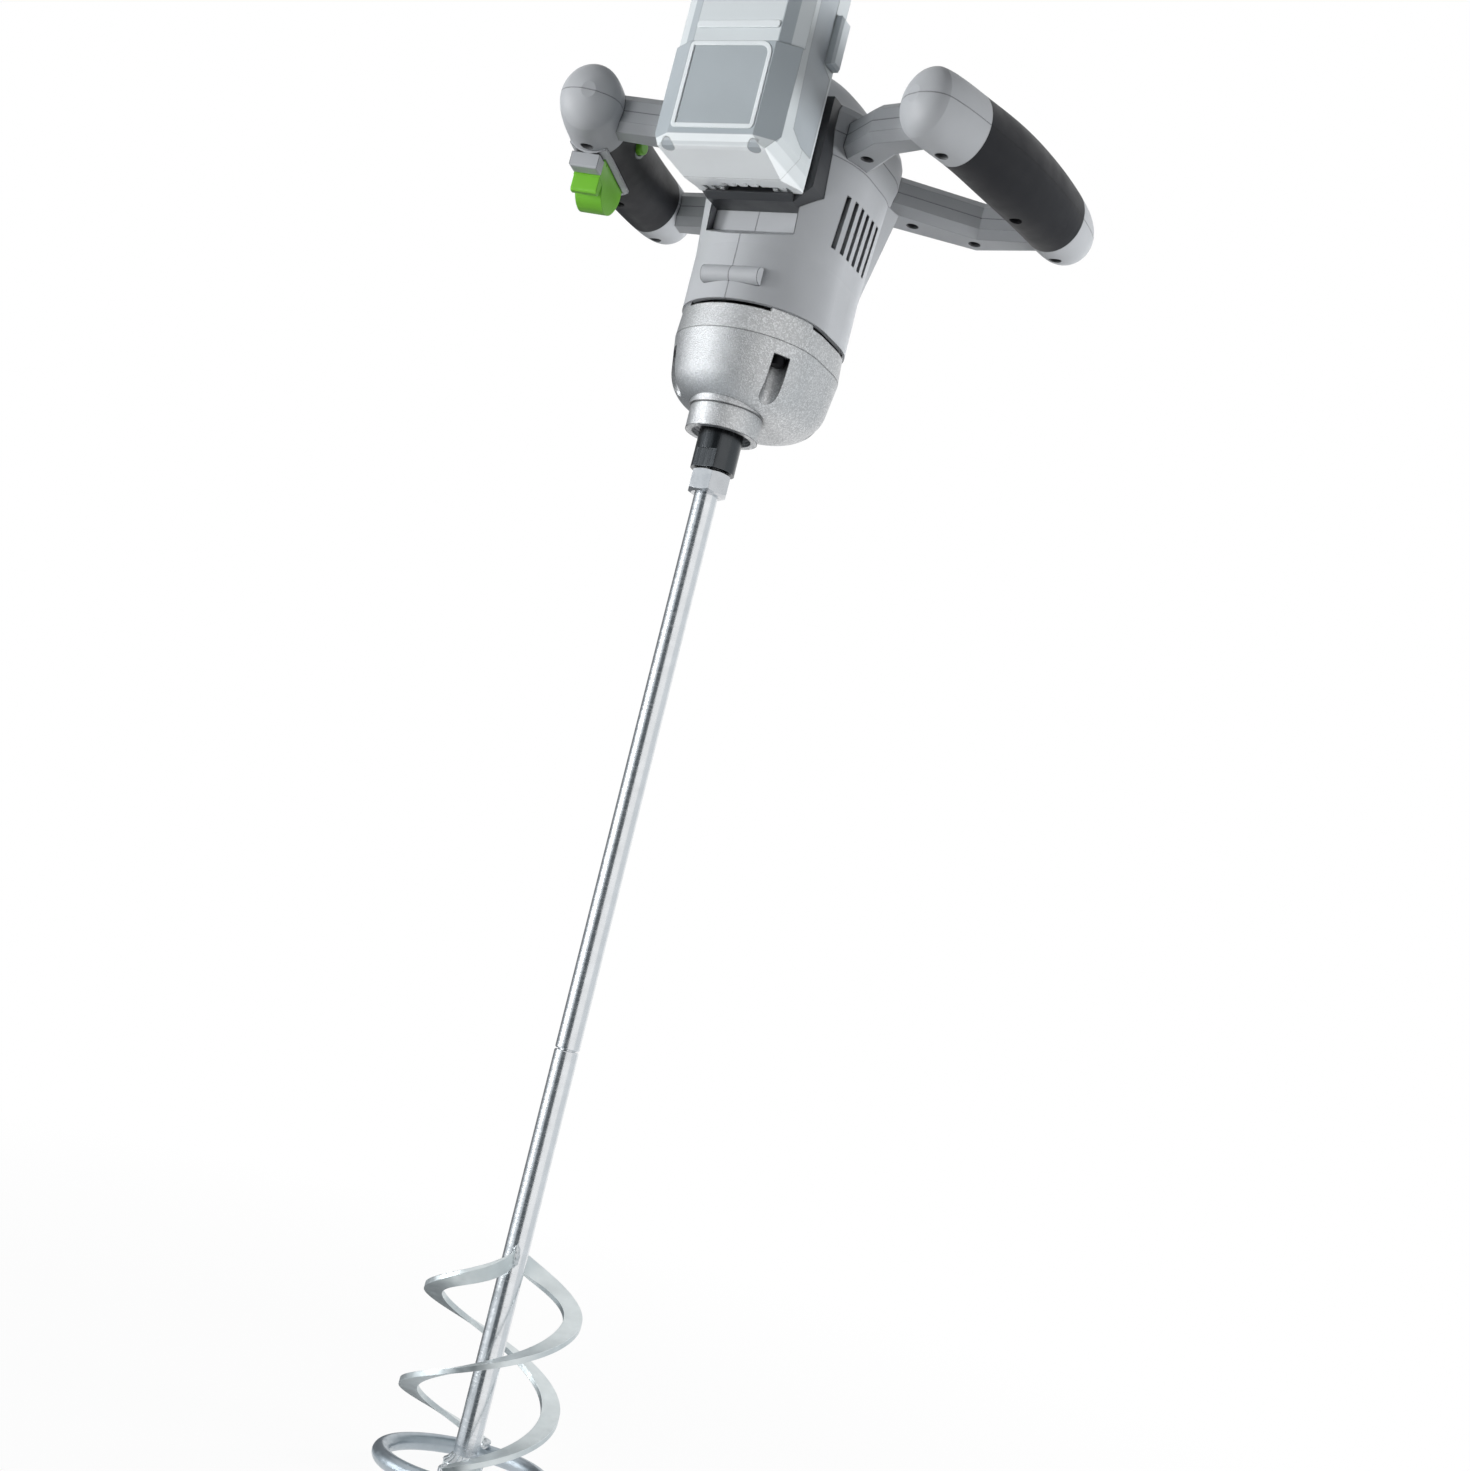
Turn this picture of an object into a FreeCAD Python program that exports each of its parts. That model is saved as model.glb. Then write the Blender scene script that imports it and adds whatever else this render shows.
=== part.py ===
# Cordless mixing drill: two side handles, front battery, two-ribbon whisk on a jointed rod.
# Frame: origin on the spindle axis at the collar's lower face, +Z up the axis, -Y towards
# the battery, +X towards the right handle. Millimetres.
import FreeCAD
import Part
import math
import os

V = FreeCAD.Vector

# Fits and cuts
BODY_GAP = 0.4
SEAT_GAP = 0.05
RUNNING_GAP = 0.05
OVERRUN = 5.0

# Body outline: two half circles about centres on the Y axis, joined by flat sides
BODY_RADIUS = 45.5
BODY_STRETCH = 19.0
MOTOR_OFFSET = 20.0
HOUSING_WALL = 3.0

# Collar and gear housing
COLLAR_DIAMETER = 43.0
COLLAR_LENGTH = 14.0
COLLAR_SHOULDER = 1.2
GEAR_HOUSING_HEIGHT = 40.0
GEAR_WALL = 3.6
GEAR_FLOOR = 5.0
BOWL_WAIST_RADIUS_SHARE = 0.94
BOWL_WAIST_HEIGHT_SHARE = 0.5
BOWL_HAUNCH_RADIUS_SHARE = 0.81
BOWL_HAUNCH_HEIGHT_SHARE = 0.19
BOWL_FOOT_RADIUS_SHARE = 0.48

# Gear screws and their channels
GEAR_SCREW_DIAMETER = 5.0
GEAR_SCREW_HEAD_DIAMETER = 8.6
GEAR_SCREW_HEAD_HEIGHT = 5.0
GEAR_SCREW_INSET = 6.5
GEAR_SCREW_ANGLE = 37.0
GEAR_SCREW_BITE = 12.0
CHANNEL_DIAMETER = 10.5
CHANNEL_ROOF = 8.0
PILLAR_WALL = 2.4

# Gear flange: wall, bearing plate and exhaust slots under the motor housing
FLANGE_HEIGHT = 17.0
FLANGE_WALL = 4.0
FLANGE_LIP = 1.0
PLATE_THICKNESS = 9.0
PLATE_RISE = 1.0
EXHAUST_HEIGHT = 2.4
EXHAUST_FRONT_WIDTH = 52.0
EXHAUST_SIDE_WIDTH = 44.0

# Motor housing
MOTOR_HOUSING_HEIGHT = 96.0
HOUSING_TAPER_START = 34.0
HOUSING_FLARE = 4.5
VENT_COUNT = 6
VENT_PITCH = 8.0
VENT_WIDTH = 3.4
VENT_HEIGHT = 32.0
VENT_SILL = 46.5
VENT_CENTRE = 16.0
BOSS_RADIUS = 5.2
BOSS_LENGTH = 37.0
BOSS_HEIGHT = 15.0
BOSS_SINK_SHARE = 0.48
HOUSING_SCREW_DIAMETER = 4.0
HOUSING_SCREW_HEAD_DIAMETER = 7.0
HOUSING_SCREW_HEAD_LENGTH = 4.0
HOUSING_SCREW_HEAD_DEPTH = 5.0
HOLLOW_WIDTH = 57.0
HOLLOW_DEPTH_SHARE = 0.6
HOLLOW_HEIGHT = 12.4
HOLLOW_SILL = 8.2
GUSSET_FOOT = 39.0
GUSSET_LOW_SHARES = ((0.956, 0.4), (0.925, 0.62), (0.66, 0.92), (0.44, 0.77))
GUSSET_TOP_SHARES = ((1.01, 0.31), (1.1, 0.81), (0.75, 1.23), (0.44, 0.88))
RIB_THICKNESS = 3.0
SPOKE_WIDTH = 10.0
SEAT_WALL = 8.0

# Handle frame: band round the body, four kinked arms, two bowed handles
BAND_SKIRT = 13.0
BAND_FLARE = 3.0
BAND_SHOULDER = 16.0
BAND_TAPER = 1.5
FRAME_WALL = 3.0
ARM_HALF_HEIGHT = 11.8
ARM_CHAMFER = 5.0
FRONT_ARM_X = (31.0, 72.5, 112.0)
FRONT_ARM_Y = (8.0, -27.0, -38.0)
FRONT_ARM_HALF_WIDTH = (14.0, 12.2, 10.0)
REAR_ARM_X = (24.0, 86.6, 134.0)
REAR_ARM_Y = (55.0, 97.0, 95.0)
REAR_ARM_HALF_WIDTH = (16.5, 13.4, 10.0)
HANDLE_REACH = 139.8
HANDLE_SQUARE_Y = 105.0
HANDLE_BOW_RADIUS = 440.0
HANDLE_HALF_WIDTH = 19.3
HANDLE_HALF_HEIGHT = 22.2
HANDLE_FRONT_Y = -60.0
HANDLE_REAR_Y = 116.0
DOME_LENGTH = 9.5
GRIP_FRONT_Y = -29.0
GRIP_REAR_Y = 80.0
GRIP_THICKNESS = 3.0
# Each row: share of the way from front to rear, share of the half width, of the half height
HANDLE_SHARES = (
    (0.0, 0.93, 0.935), (0.05, 0.985, 0.985), (0.176, 1.0, 1.0), (0.36, 1.03, 1.055),
    (0.54, 1.025, 1.05), (0.69, 1.0, 1.01), (0.8, 0.975, 0.965), (0.9, 0.92, 0.89),
    (0.965, 0.79, 0.745), (1.0, 0.5, 0.46))
DOME_SHARES = ((0.0, 1.0), (0.42, 0.86), (0.78, 0.58), (1.0, 0.24))

# Frame screws, driven from below
FRAME_SCREW_DIAMETER = 4.0
FRAME_SCREW_HEAD_DIAMETER = 6.6
FRAME_SCREW_HEAD_HEIGHT = 3.0
FRAME_SCREW_BITE = 9.0
FRAME_HOLE_DIAMETER = 7.4
FRAME_HEAD_BELOW_PARTING = 4.0
HANDLE_SCREW_Y = (-41.0, 35.0, 95.0)
ARM_SCREW_SHARES = (0.62, 0.45, 0.98)

# Top cover: rows give share of its height, of the band's top radius, and of the centres
TOP_COVER_HEIGHT = 31.0
TOP_COVER_WALL = 2.8
TOP_COVER_SHARES = (
    (0.0, 1.0, 1.0, 1.0),
    (0.1, 0.9, 0.92, 0.9),
    (0.32, 0.77, 0.8, 0.7),
    (0.57, 0.61, 0.62, 0.48),
    (0.8, 0.43, 0.47, 0.3),
    (0.94, 0.27, 0.39, 0.2),
    (1.0, 0.13, 0.34, 0.15),
)

# Battery dock: plate, walls, guide rail and contact blades
DOCK_WIDTH = 76.0
DOCK_SINK = 0.5
DOCK_CAN_GAP = 6.0
DOCK_FOOT = 60.0
DOCK_WALL = 4.0
DOCK_CHAMFER = 10.0
LEDGE_LIP = 1.2
RAIL_NECK_WIDTH = 30.0
RAIL_HEAD_WIDTH = 38.0
RAIL_NECK = 5.0
RAIL_HEAD = 4.0
RAIL_LENGTH_SHARE = 0.76
RAIL_RISE = 6.0
BLADE_COUNT = 4
BLADE_PITCH = 7.0
BLADE_THICKNESS = 0.8
BLADE_DEPTH = 6.0
BLADE_LENGTH = 22.0
BLADE_RISE = 14.0

# Battery pack
BATTERY_WIDTH = 80.0
BATTERY_DEPTH = 59.0
BATTERY_HEIGHT = 118.0
BATTERY_WALL = 2.6
BATTERY_FOOT_GAP = 0.6
FRONT_BEVEL_WIDTH = 13.0
FRONT_BEVEL_DEPTH = 8.2
REAR_BEVEL_WIDTH = 7.0
REAR_BEVEL_DEPTH = 12.0
FOOT_BEVEL_WIDTH = 9.0
FOOT_BEVEL_HEIGHT = 13.0
FOOT_ROUND = 6.0
FOOT_ROUND_SHARES = ((0.0, 1.0), (0.3, 0.38), (0.65, 0.08), (1.1, -0.04))
KEEL_DROP = 3.8
KEEL_SETBACK = 35.0
STEP_RISE = 61.4
STEP_DEPTH = 1.8
BATTERY_SPLIT_DEPTH = 34.0
LABEL_WIDTH = 47.0
LABEL_HEIGHT = 48.0
LABEL_RISE = 10.8
LABEL_DEPTH = 0.8
PLUG_DIAMETER = 7.6
PLUG_SPACING = 54.4
PLUG_SETBACK = 4.8
PLUG_DEPTH = 4.4
SIDE_PANEL_DEPTH = 1.2
SIDE_PANEL_SHARES = (
    (0.24, 0.93), (0.26, 0.53), (0.32, 0.165), (0.53, 0.125), (0.76, 0.125), (0.76, 0.53), (0.58, 0.56),
    (0.58, 0.93))
RIB_COUNT = 10
RIB_SPAN = 58.0
RIB_WIDTH = 2.8
RIB_RUN = 5.0
RIB_DEPTH = 1.0
CELL_DIAMETER = 18.4
CELL_LENGTH = 65.0
CELL_COUNT = 5
CELL_RISE = 9.0
TERMINAL_CLEARANCE = 0.35
TERMINAL_WALL = 1.2
RELEASE_WIDTH = 10.6
RELEASE_HEIGHT = 29.0
RELEASE_PROUD = 5.0
RELEASE_DEPTH = 5.2
RELEASE_FLANGE = 1.6
RELEASE_FLANGE_THICKNESS = 2.0
RELEASE_TRAVEL = 3.0
RELEASE_RISE = 82.0
RELEASE_SETBACK = 18.3
RELEASE_SPRING_POCKET = 3.5

# Spindle and its bearings
SPINDLE_DIAMETER = 26.0
SPINDLE_NOSE = 21.6
SPINDLE_FLATS = 22.0
SPINDLE_FLAT_LENGTH = 10.8
SPINDLE_FLAT_ANGLE = 85.0
SPINDLE_NOSE_RECESS = 2.6
SPINDLE_JOURNAL_DIAMETER = 17.0
SPINDLE_GEAR_SEAT_DIAMETER = 15.0
SPINDLE_TIP_DIAMETER = 10.0
BEARING_DIAMETER = 35.0
BEARING_WIDTH = 10.0
BEARING_SETBACK = 4.4
CIRCLIP_THICKNESS = 1.5
CIRCLIP_WIDTH = 3.0
CIRCLIP_GAP = 8.0
SEAL_RECESS = 0.25
BUSH_WALL = 2.0
BUSH_LENGTH = 7.0

# Gear train: spindle gear and layshaft pinion, layshaft gear and motor pinion
LAYSHAFT_X_SHARE = 0.48
LAYSHAFT_Y_SHARE = 0.44
SLOW_GEAR_TEETH = 36
SLOW_PINION_TEETH = 9
SLOW_GEAR_WIDTH = 12.0
FAST_GEAR_TEETH = 42
FAST_PINION_TEETH = 9
FAST_GEAR_WIDTH = 8.0
PINION_EXTRA_WIDTH = 1.0
SPINDLE_GEAR_RISE = 30.0
FAST_GEAR_RISE = 45.0
TOOTH_ADDENDUM_SHARE = 0.6
TOOTH_DEDENDUM_SHARE = 1.15
TOOTH_ROOT_SHARE = 0.52
TOOTH_TIP_SHARE = 0.24
LAYSHAFT_DIAMETER = 7.0

# Motor
CAN_DIAMETER = 60.0
CAN_LENGTH = 64.0
CAN_WALL = 2.0
CAN_RISE = 17.0
MAGNET_THICKNESS = 6.0
MAGNET_ANGLE = 140.0
MAGNET_MARGIN = 9.0
CORE_DIAMETER = 41.0
CORE_LENGTH = 40.0
CORE_RISE = 9.0
CORE_SLOTS = 12
CORE_SLOT_WIDTH = 3.0
CORE_SLOT_DEPTH = 9.0
COMMUTATOR_DIAMETER = 20.0
COMMUTATOR_LENGTH = 8.6
COMMUTATOR_GAP = 4.0
BRUSH_WIDTH = 6.0
BRUSH_LENGTH = 12.0
BRUSH_HOLDER_HEIGHT = 8.4
BRUSH_HOLDER_WALL = 2.0
ROTOR_SHAFT_DIAMETER = 8.0
MOTOR_BEARING_DIAMETER = 19.0
MOTOR_BEARING_WIDTH = 6.0
FAN_CLEARANCE = 6.5
FAN_HEIGHT = 10.0
FAN_PLATE = 2.0
FAN_BLADES = 11
FAN_BLADE_THICKNESS = 2.0
FAN_HUB_DIAMETER = 18.0
FAN_RISE = 2.5

# Trigger, guard, switch and lock-off button on the left handle
TRIGGER_Y = -4.0
TRIGGER_WIDTH = 17.0
TRIGGER_LENGTH = 44.0
TRIGGER_DROP = 22.6
TRIGGER_TRAVEL = 6.0
TRIGGER_FLANGE = 1.6
TRIGGER_FLANGE_THICKNESS = 3.0
TRIGGER_NOSE_SHARES = (
    (0.0, 0.44),
    (0.17, 0.52),
    (0.25, 0.8),
    (0.4, 0.97),
    (0.58, 1.0),
    (0.82, 0.76),
    (1.0, 0.25),
)
BEZEL_BORDER = 3.2
BEZEL_PROUD = 1.2
BEZEL_SINK = 9.0
GUARD_LENGTH = 7.5
GUARD_DROP = 9.0
SWITCH_LENGTH = 56.0
SWITCH_WIDTH = 18.6
SWITCH_HEIGHT = 15.0
SWITCH_RIB = 3.0
SPRING_WIRE = 0.9
SPRING_DIAMETER = 7.0
SPRING_TURNS = 4
SPRING_POCKET = 9.0
LOCK_Y = 3.0
LOCK_DIAMETER = 9.6
LOCK_PROUD = 4.0
LOCK_TRAVEL = 3.2
LOCK_LIP = 1.6
LOCK_FLOOR = 1.2
LOCK_FLANGE = 0.9
LOCK_FLANGE_THICKNESS = 1.5
LOCK_ROUND = 1.4
LOCK_BEZEL_BORDER = 2.4
LOCK_SPRING_POCKET = 3.0
LOCK_SPRING_DIAMETER = 5.0
LOCK_SPRING_WIRE = 0.6
SHORT_SPRING_TURNS = 3

# Control board behind the dock
BOARD_WIDTH = 56.0
BOARD_HEIGHT_SHARE = 0.6
BOARD_THICKNESS = 1.6
BOARD_STANDOFF = 2.5
HEATSINK_THICKNESS = 2.6
HEATSINK_SHARE = 0.6

# Mixing rod and whisk
ROD_DIAMETER = 14.0
ROD_JOINT_DROP = 362.0
ROD_FOOT_DROP = 590.0
ROD_JOINT_GAP = 0.6
ROD_THREAD_REACH = 15.0
STUD_DIAMETER = 10.0
STUD_LENGTH = 40.0
NUT_WIDTH = 22.0
NUT_HEIGHT = 14.0
NUT_GAP = 0.4
RING_DIAMETER = 100.0
RING_BAR = 9.5
RING_DROP = 593.0
HUB_DIAMETER = 22.0
HUB_THICKNESS = 4.0
RIBBON_WIDTH = 10.4
RIBBON_THICKNESS = 3.2
RIBBON_RADIUS = 39.6
RIBBON_TOP_DROP = 472.0
RIBBON_TURN = 372.0
RIBBON_START = -62.0
RIBBON_STEPS = 30
RIBBON_SPREAD_SHARE = 0.27
RIBBON_TOP_TWIST = 80.0

# Places worked out from the sizes above
FRONT_CENTRE = MOTOR_OFFSET - BODY_STRETCH / 2
REAR_CENTRE = MOTOR_OFFSET + BODY_STRETCH / 2
BODY_FRONT = FRONT_CENTRE - BODY_RADIUS
HOUSING_TOP_RADIUS = BODY_RADIUS + HOUSING_FLARE
BAND_RADIUS = HOUSING_TOP_RADIUS + BAND_FLARE
BAND_TOP_RADIUS = BAND_RADIUS - BAND_TAPER
GEAR_ROOM_RADIUS = BODY_RADIUS - GEAR_WALL
GEAR_SCREW_RADIUS = BODY_RADIUS - GEAR_SCREW_INSET
FLANGE_ROOM_RADIUS = BODY_RADIUS - FLANGE_LIP - FLANGE_WALL
FAN_DIAMETER = 2 * (FLANGE_ROOM_RADIUS - FAN_CLEARANCE)
GEAR_SEAM = COLLAR_LENGTH + GEAR_HOUSING_HEIGHT
FLANGE_TOP = GEAR_SEAM + FLANGE_HEIGHT
HOUSING_TOP = FLANGE_TOP + MOTOR_HOUSING_HEIGHT
PARTING = HOUSING_TOP + BAND_SKIRT
BAND_TOP = PARTING + BAND_SHOULDER
COVER_TOP = BAND_TOP + TOP_COVER_HEIGHT
PLATE_BOTTOM = GEAR_SEAM + PLATE_RISE
PLATE_TOP = PLATE_BOTTOM + PLATE_THICKNESS
DOCK_FACE_Y = BODY_FRONT + DOCK_SINK
DOCK_BACK_Y = MOTOR_OFFSET - CAN_DIAMETER / 2 - DOCK_CAN_GAP
DOCK_BOTTOM = FLANGE_TOP + DOCK_FOOT
DOCK_TOP = BAND_TOP - SEAT_GAP
BATTERY_BOTTOM = DOCK_BOTTOM + DOCK_WALL + BATTERY_FOOT_GAP
BATTERY_TOP = BATTERY_BOTTOM + BATTERY_HEIGHT
BATTERY_BACK = DOCK_FACE_Y - BODY_GAP
BATTERY_FRONT = BATTERY_BACK - BATTERY_DEPTH
BATTERY_SPLIT = BATTERY_FRONT + BATTERY_SPLIT_DEPTH
LAYSHAFT_X = GEAR_ROOM_RADIUS * LAYSHAFT_X_SHARE
LAYSHAFT_Y = GEAR_ROOM_RADIUS * LAYSHAFT_Y_SHARE
SLOW_MODULE = 2 * math.hypot(LAYSHAFT_X, LAYSHAFT_Y) / (SLOW_GEAR_TEETH + SLOW_PINION_TEETH)
FAST_MODULE = 2 * math.hypot(LAYSHAFT_X, MOTOR_OFFSET - LAYSHAFT_Y) / (FAST_GEAR_TEETH + FAST_PINION_TEETH)
CAN_BOTTOM = FLANGE_TOP + CAN_RISE
CAN_TOP = CAN_BOTTOM + CAN_LENGTH
CORE_BOTTOM = CAN_BOTTOM + CORE_RISE
CORE_TOP = CORE_BOTTOM + CORE_LENGTH
COMMUTATOR_BOTTOM = CORE_TOP + COMMUTATOR_GAP
COMMUTATOR_TOP = COMMUTATOR_BOTTOM + COMMUTATOR_LENGTH
NUT_TOP = -SPINDLE_NOSE - NUT_GAP
NUT_BOTTOM = NUT_TOP - NUT_HEIGHT


# Simple solids
def box(x0, x1, y0, y1, z0, z1):
    return Part.makeBox(x1 - x0, y1 - y0, z1 - z0, V(x0, y0, z0))


def rod(radius, z0, z1, x=0.0, y=0.0):
    return Part.makeCylinder(radius, z1 - z0, V(x, y, z0))


def tube(outer, inner, z0, z1, x=0.0, y=0.0):
    bore = rod(inner, z0 - OVERRUN, z1 + OVERRUN, x, y)
    return rod(outer, z0, z1, x, y).cut(bore)


def cross_rod(radius, x0, x1, y, z):
    return Part.makeCylinder(radius, x1 - x0, V(x0, y, z), V(1, 0, 0))


def joined(pieces):
    return pieces[0].fuse(pieces[1:]).removeSplitter()


def mirrored(shape):
    return shape.mirror(V(0, 0, 0), V(1, 0, 0))


def outline(points, z):
    corners = [V(x, y, z) for x, y in points]
    return Part.makePolygon(corners + corners[:1])


def prism(points, z0, z1):
    return Part.Face(outline(points, z0)).extrude(V(0, 0, z1 - z0))


# A solid of oblong section from a half profile of (radius, z) steps; a step of four values
# is an arc through its first point
def half_profile(steps, y):
    edges = []
    here = V(steps[0][0], y, steps[0][1])
    for step in list(steps[1:]) + [steps[0]]:
        there = V(step[-2], y, step[-1])
        if len(step) == 4:
            edges.append(Part.Arc(here, V(step[0], y, step[1]), there).toShape())
        else:
            edges.append(Part.LineSegment(here, there).toShape())
        here = there
    return Part.Face(Part.Wire(edges))


def oblong(steps):
    front = half_profile(steps, FRONT_CENTRE)
    rear = half_profile(steps, REAR_CENTRE)
    right = front.extrude(V(0, BODY_STRETCH, 0))
    front_half = front.revolve(V(0, FRONT_CENTRE, 0), V(0, 0, -1), 180)
    rear_half = rear.revolve(V(0, REAR_CENTRE, 0), V(0, 0, 1), 180)
    return joined([front_half, right, mirrored(right), rear_half])


def oblong_wire(front, rear, radius, z):
    right_line = Part.LineSegment(V(radius, front, z), V(radius, rear, z))
    rear_arc = Part.Arc(V(radius, rear, z), V(0, rear + radius, z), V(-radius, rear, z))
    left_line = Part.LineSegment(V(-radius, rear, z), V(-radius, front, z))
    front_arc = Part.Arc(V(-radius, front, z), V(0, front - radius, z), V(radius, front, z))
    return Part.Wire([edge.toShape() for edge in (right_line, rear_arc, left_line, front_arc)])


def right_half(shape):
    limit = shape.BoundBox
    return shape.common(box(0, limit.XMax + OVERRUN, limit.YMin - OVERRUN, limit.YMax + OVERRUN,
                            limit.ZMin - OVERRUN, limit.ZMax + OVERRUN))


def left_half(shape):
    limit = shape.BoundBox
    return shape.common(box(limit.XMin - OVERRUN, 0, limit.YMin - OVERRUN, limit.YMax + OVERRUN,
                            limit.ZMin - OVERRUN, limit.ZMax + OVERRUN))


def below(shape, z):
    limit = shape.BoundBox
    return shape.common(box(limit.XMin - OVERRUN, limit.XMax + OVERRUN, limit.YMin - OVERRUN,
                            limit.YMax + OVERRUN, limit.ZMin - OVERRUN, z))


def above(shape, z):
    limit = shape.BoundBox
    return shape.common(box(limit.XMin - OVERRUN, limit.XMax + OVERRUN, limit.YMin - OVERRUN,
                            limit.YMax + OVERRUN, z, limit.ZMax + OVERRUN))


# Four gear screws: places, channels in the casting, pillars through flange and housing
def gear_screw_places():
    reach_x = GEAR_SCREW_RADIUS * math.cos(math.radians(GEAR_SCREW_ANGLE))
    reach_y = GEAR_SCREW_RADIUS * math.sin(math.radians(GEAR_SCREW_ANGLE))
    places = []
    for side in (-1, 1):
        places.append((side * reach_x, FRONT_CENTRE - reach_y))
        places.append((side * reach_x, REAR_CENTRE + reach_y))
    return places


CHANNEL_TOP = GEAR_SEAM - CHANNEL_ROOF
GEAR_SCREW_TOP = FLANGE_TOP + GEAR_SCREW_BITE


def gear_screws():
    screws = []
    for x, y in gear_screw_places():
        head = rod(GEAR_SCREW_HEAD_DIAMETER / 2, CHANNEL_TOP - SEAT_GAP - GEAR_SCREW_HEAD_HEIGHT,
                   CHANNEL_TOP - SEAT_GAP, x, y)
        shank = rod(GEAR_SCREW_DIAMETER / 2, CHANNEL_TOP - SEAT_GAP, GEAR_SCREW_TOP, x, y)
        screws.append(joined([head, shank]))
    return Part.makeCompound(screws)


def gear_screw_holes(z0, z1):
    radius = GEAR_SCREW_DIAMETER / 2 + SEAT_GAP
    return [rod(radius, z0 - OVERRUN, z1, x, y) for x, y in gear_screw_places()]


def pillars(z0, z1):
    radius = GEAR_SCREW_DIAMETER / 2 + PILLAR_WALL
    return [rod(radius, z0, z1, x, y) for x, y in gear_screw_places()]


def screw_channels():
    channels = []
    for x, y in gear_screw_places():
        centre = FRONT_CENTRE if y < MOTOR_OFFSET else REAR_CENTRE
        length = math.hypot(x, y - centre)
        out_x, out_y = x / length, (y - centre) / length
        half = CHANNEL_DIAMETER / 2
        mouth = prism([(x - out_y * half, y + out_x * half), (x + out_y * half, y - out_x * half),
                       (x + out_y * half + out_x * BODY_RADIUS, y - out_x * half + out_y * BODY_RADIUS),
                       (x - out_y * half + out_x * BODY_RADIUS, y + out_x * half + out_y * BODY_RADIUS)],
                      0, CHANNEL_TOP)
        channels.append(rod(half, 0, CHANNEL_TOP, x, y))
        channels.append(mouth)
    return channels


# Gear housing: a deep cast bowl with the bearing collar under its front end
def bowl(radius, z0, z1):
    height = z1 - z0
    return oblong([(0, z1), (radius, z1),
                   (radius * BOWL_WAIST_RADIUS_SHARE, z0 + height * BOWL_WAIST_HEIGHT_SHARE),
                   (radius * BOWL_HAUNCH_RADIUS_SHARE, z0 + height * BOWL_HAUNCH_HEIGHT_SHARE,
                    radius * BOWL_FOOT_RADIUS_SHARE, z0),
                   (0, z0)])


def gear_housing():
    outer = bowl(BODY_RADIUS, COLLAR_LENGTH, GEAR_SEAM)
    collar = rod(COLLAR_DIAMETER / 2, 0, COLLAR_LENGTH + GEAR_FLOOR)
    shoulder = rod(COLLAR_DIAMETER / 2 + COLLAR_SHOULDER, COLLAR_LENGTH, COLLAR_LENGTH + GEAR_FLOOR)
    body = joined([outer, collar, shoulder])
    room = bowl(GEAR_ROOM_RADIUS, COLLAR_LENGTH + GEAR_FLOOR, GEAR_SEAM)
    posts = []
    for x, y in gear_screw_places():
        posts.append(rod(CHANNEL_DIAMETER / 2 + PILLAR_WALL, COLLAR_LENGTH, GEAR_SEAM, x, y))
    body = body.cut(room)
    body = joined([body] + [post.common(outer) for post in posts] + [layshaft_seat().common(outer)])
    bearing_top = BEARING_SETBACK + BEARING_WIDTH
    pocket = rod(BEARING_DIAMETER / 2 + SEAT_GAP, -OVERRUN, bearing_top + SEAT_GAP)
    throat = rod(SPINDLE_JOURNAL_DIAMETER / 2 + GEAR_WALL, 0, COLLAR_LENGTH + GEAR_FLOOR + OVERRUN)
    groove = rod(BEARING_DIAMETER / 2 + CIRCLIP_WIDTH / 2, circlip_bottom() - SEAT_GAP,
                 circlip_bottom() + CIRCLIP_THICKNESS + SEAT_GAP)
    bush_bore = rod(LAYSHAFT_DIAMETER / 2 + BUSH_WALL + SEAT_GAP, layshaft_foot(),
                    layshaft_foot() + BUSH_LENGTH + OVERRUN, LAYSHAFT_X, LAYSHAFT_Y)
    cuts = [pocket, throat, groove, bush_bore] + screw_channels()
    return body.cut(cuts + gear_screw_holes(CHANNEL_TOP, GEAR_SEAM + OVERRUN))


def circlip_bottom():
    return BEARING_SETBACK - CIRCLIP_THICKNESS - SEAT_GAP


def layshaft_foot():
    return COLLAR_LENGTH + GEAR_FLOOR


# Boss in the bowl's floor that carries the layshaft's lower bush
def layshaft_seat():
    return rod(LAYSHAFT_DIAMETER / 2 + BUSH_WALL + GEAR_WALL, COLLAR_LENGTH,
               layshaft_foot() + BUSH_LENGTH, LAYSHAFT_X, LAYSHAFT_Y)


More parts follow.
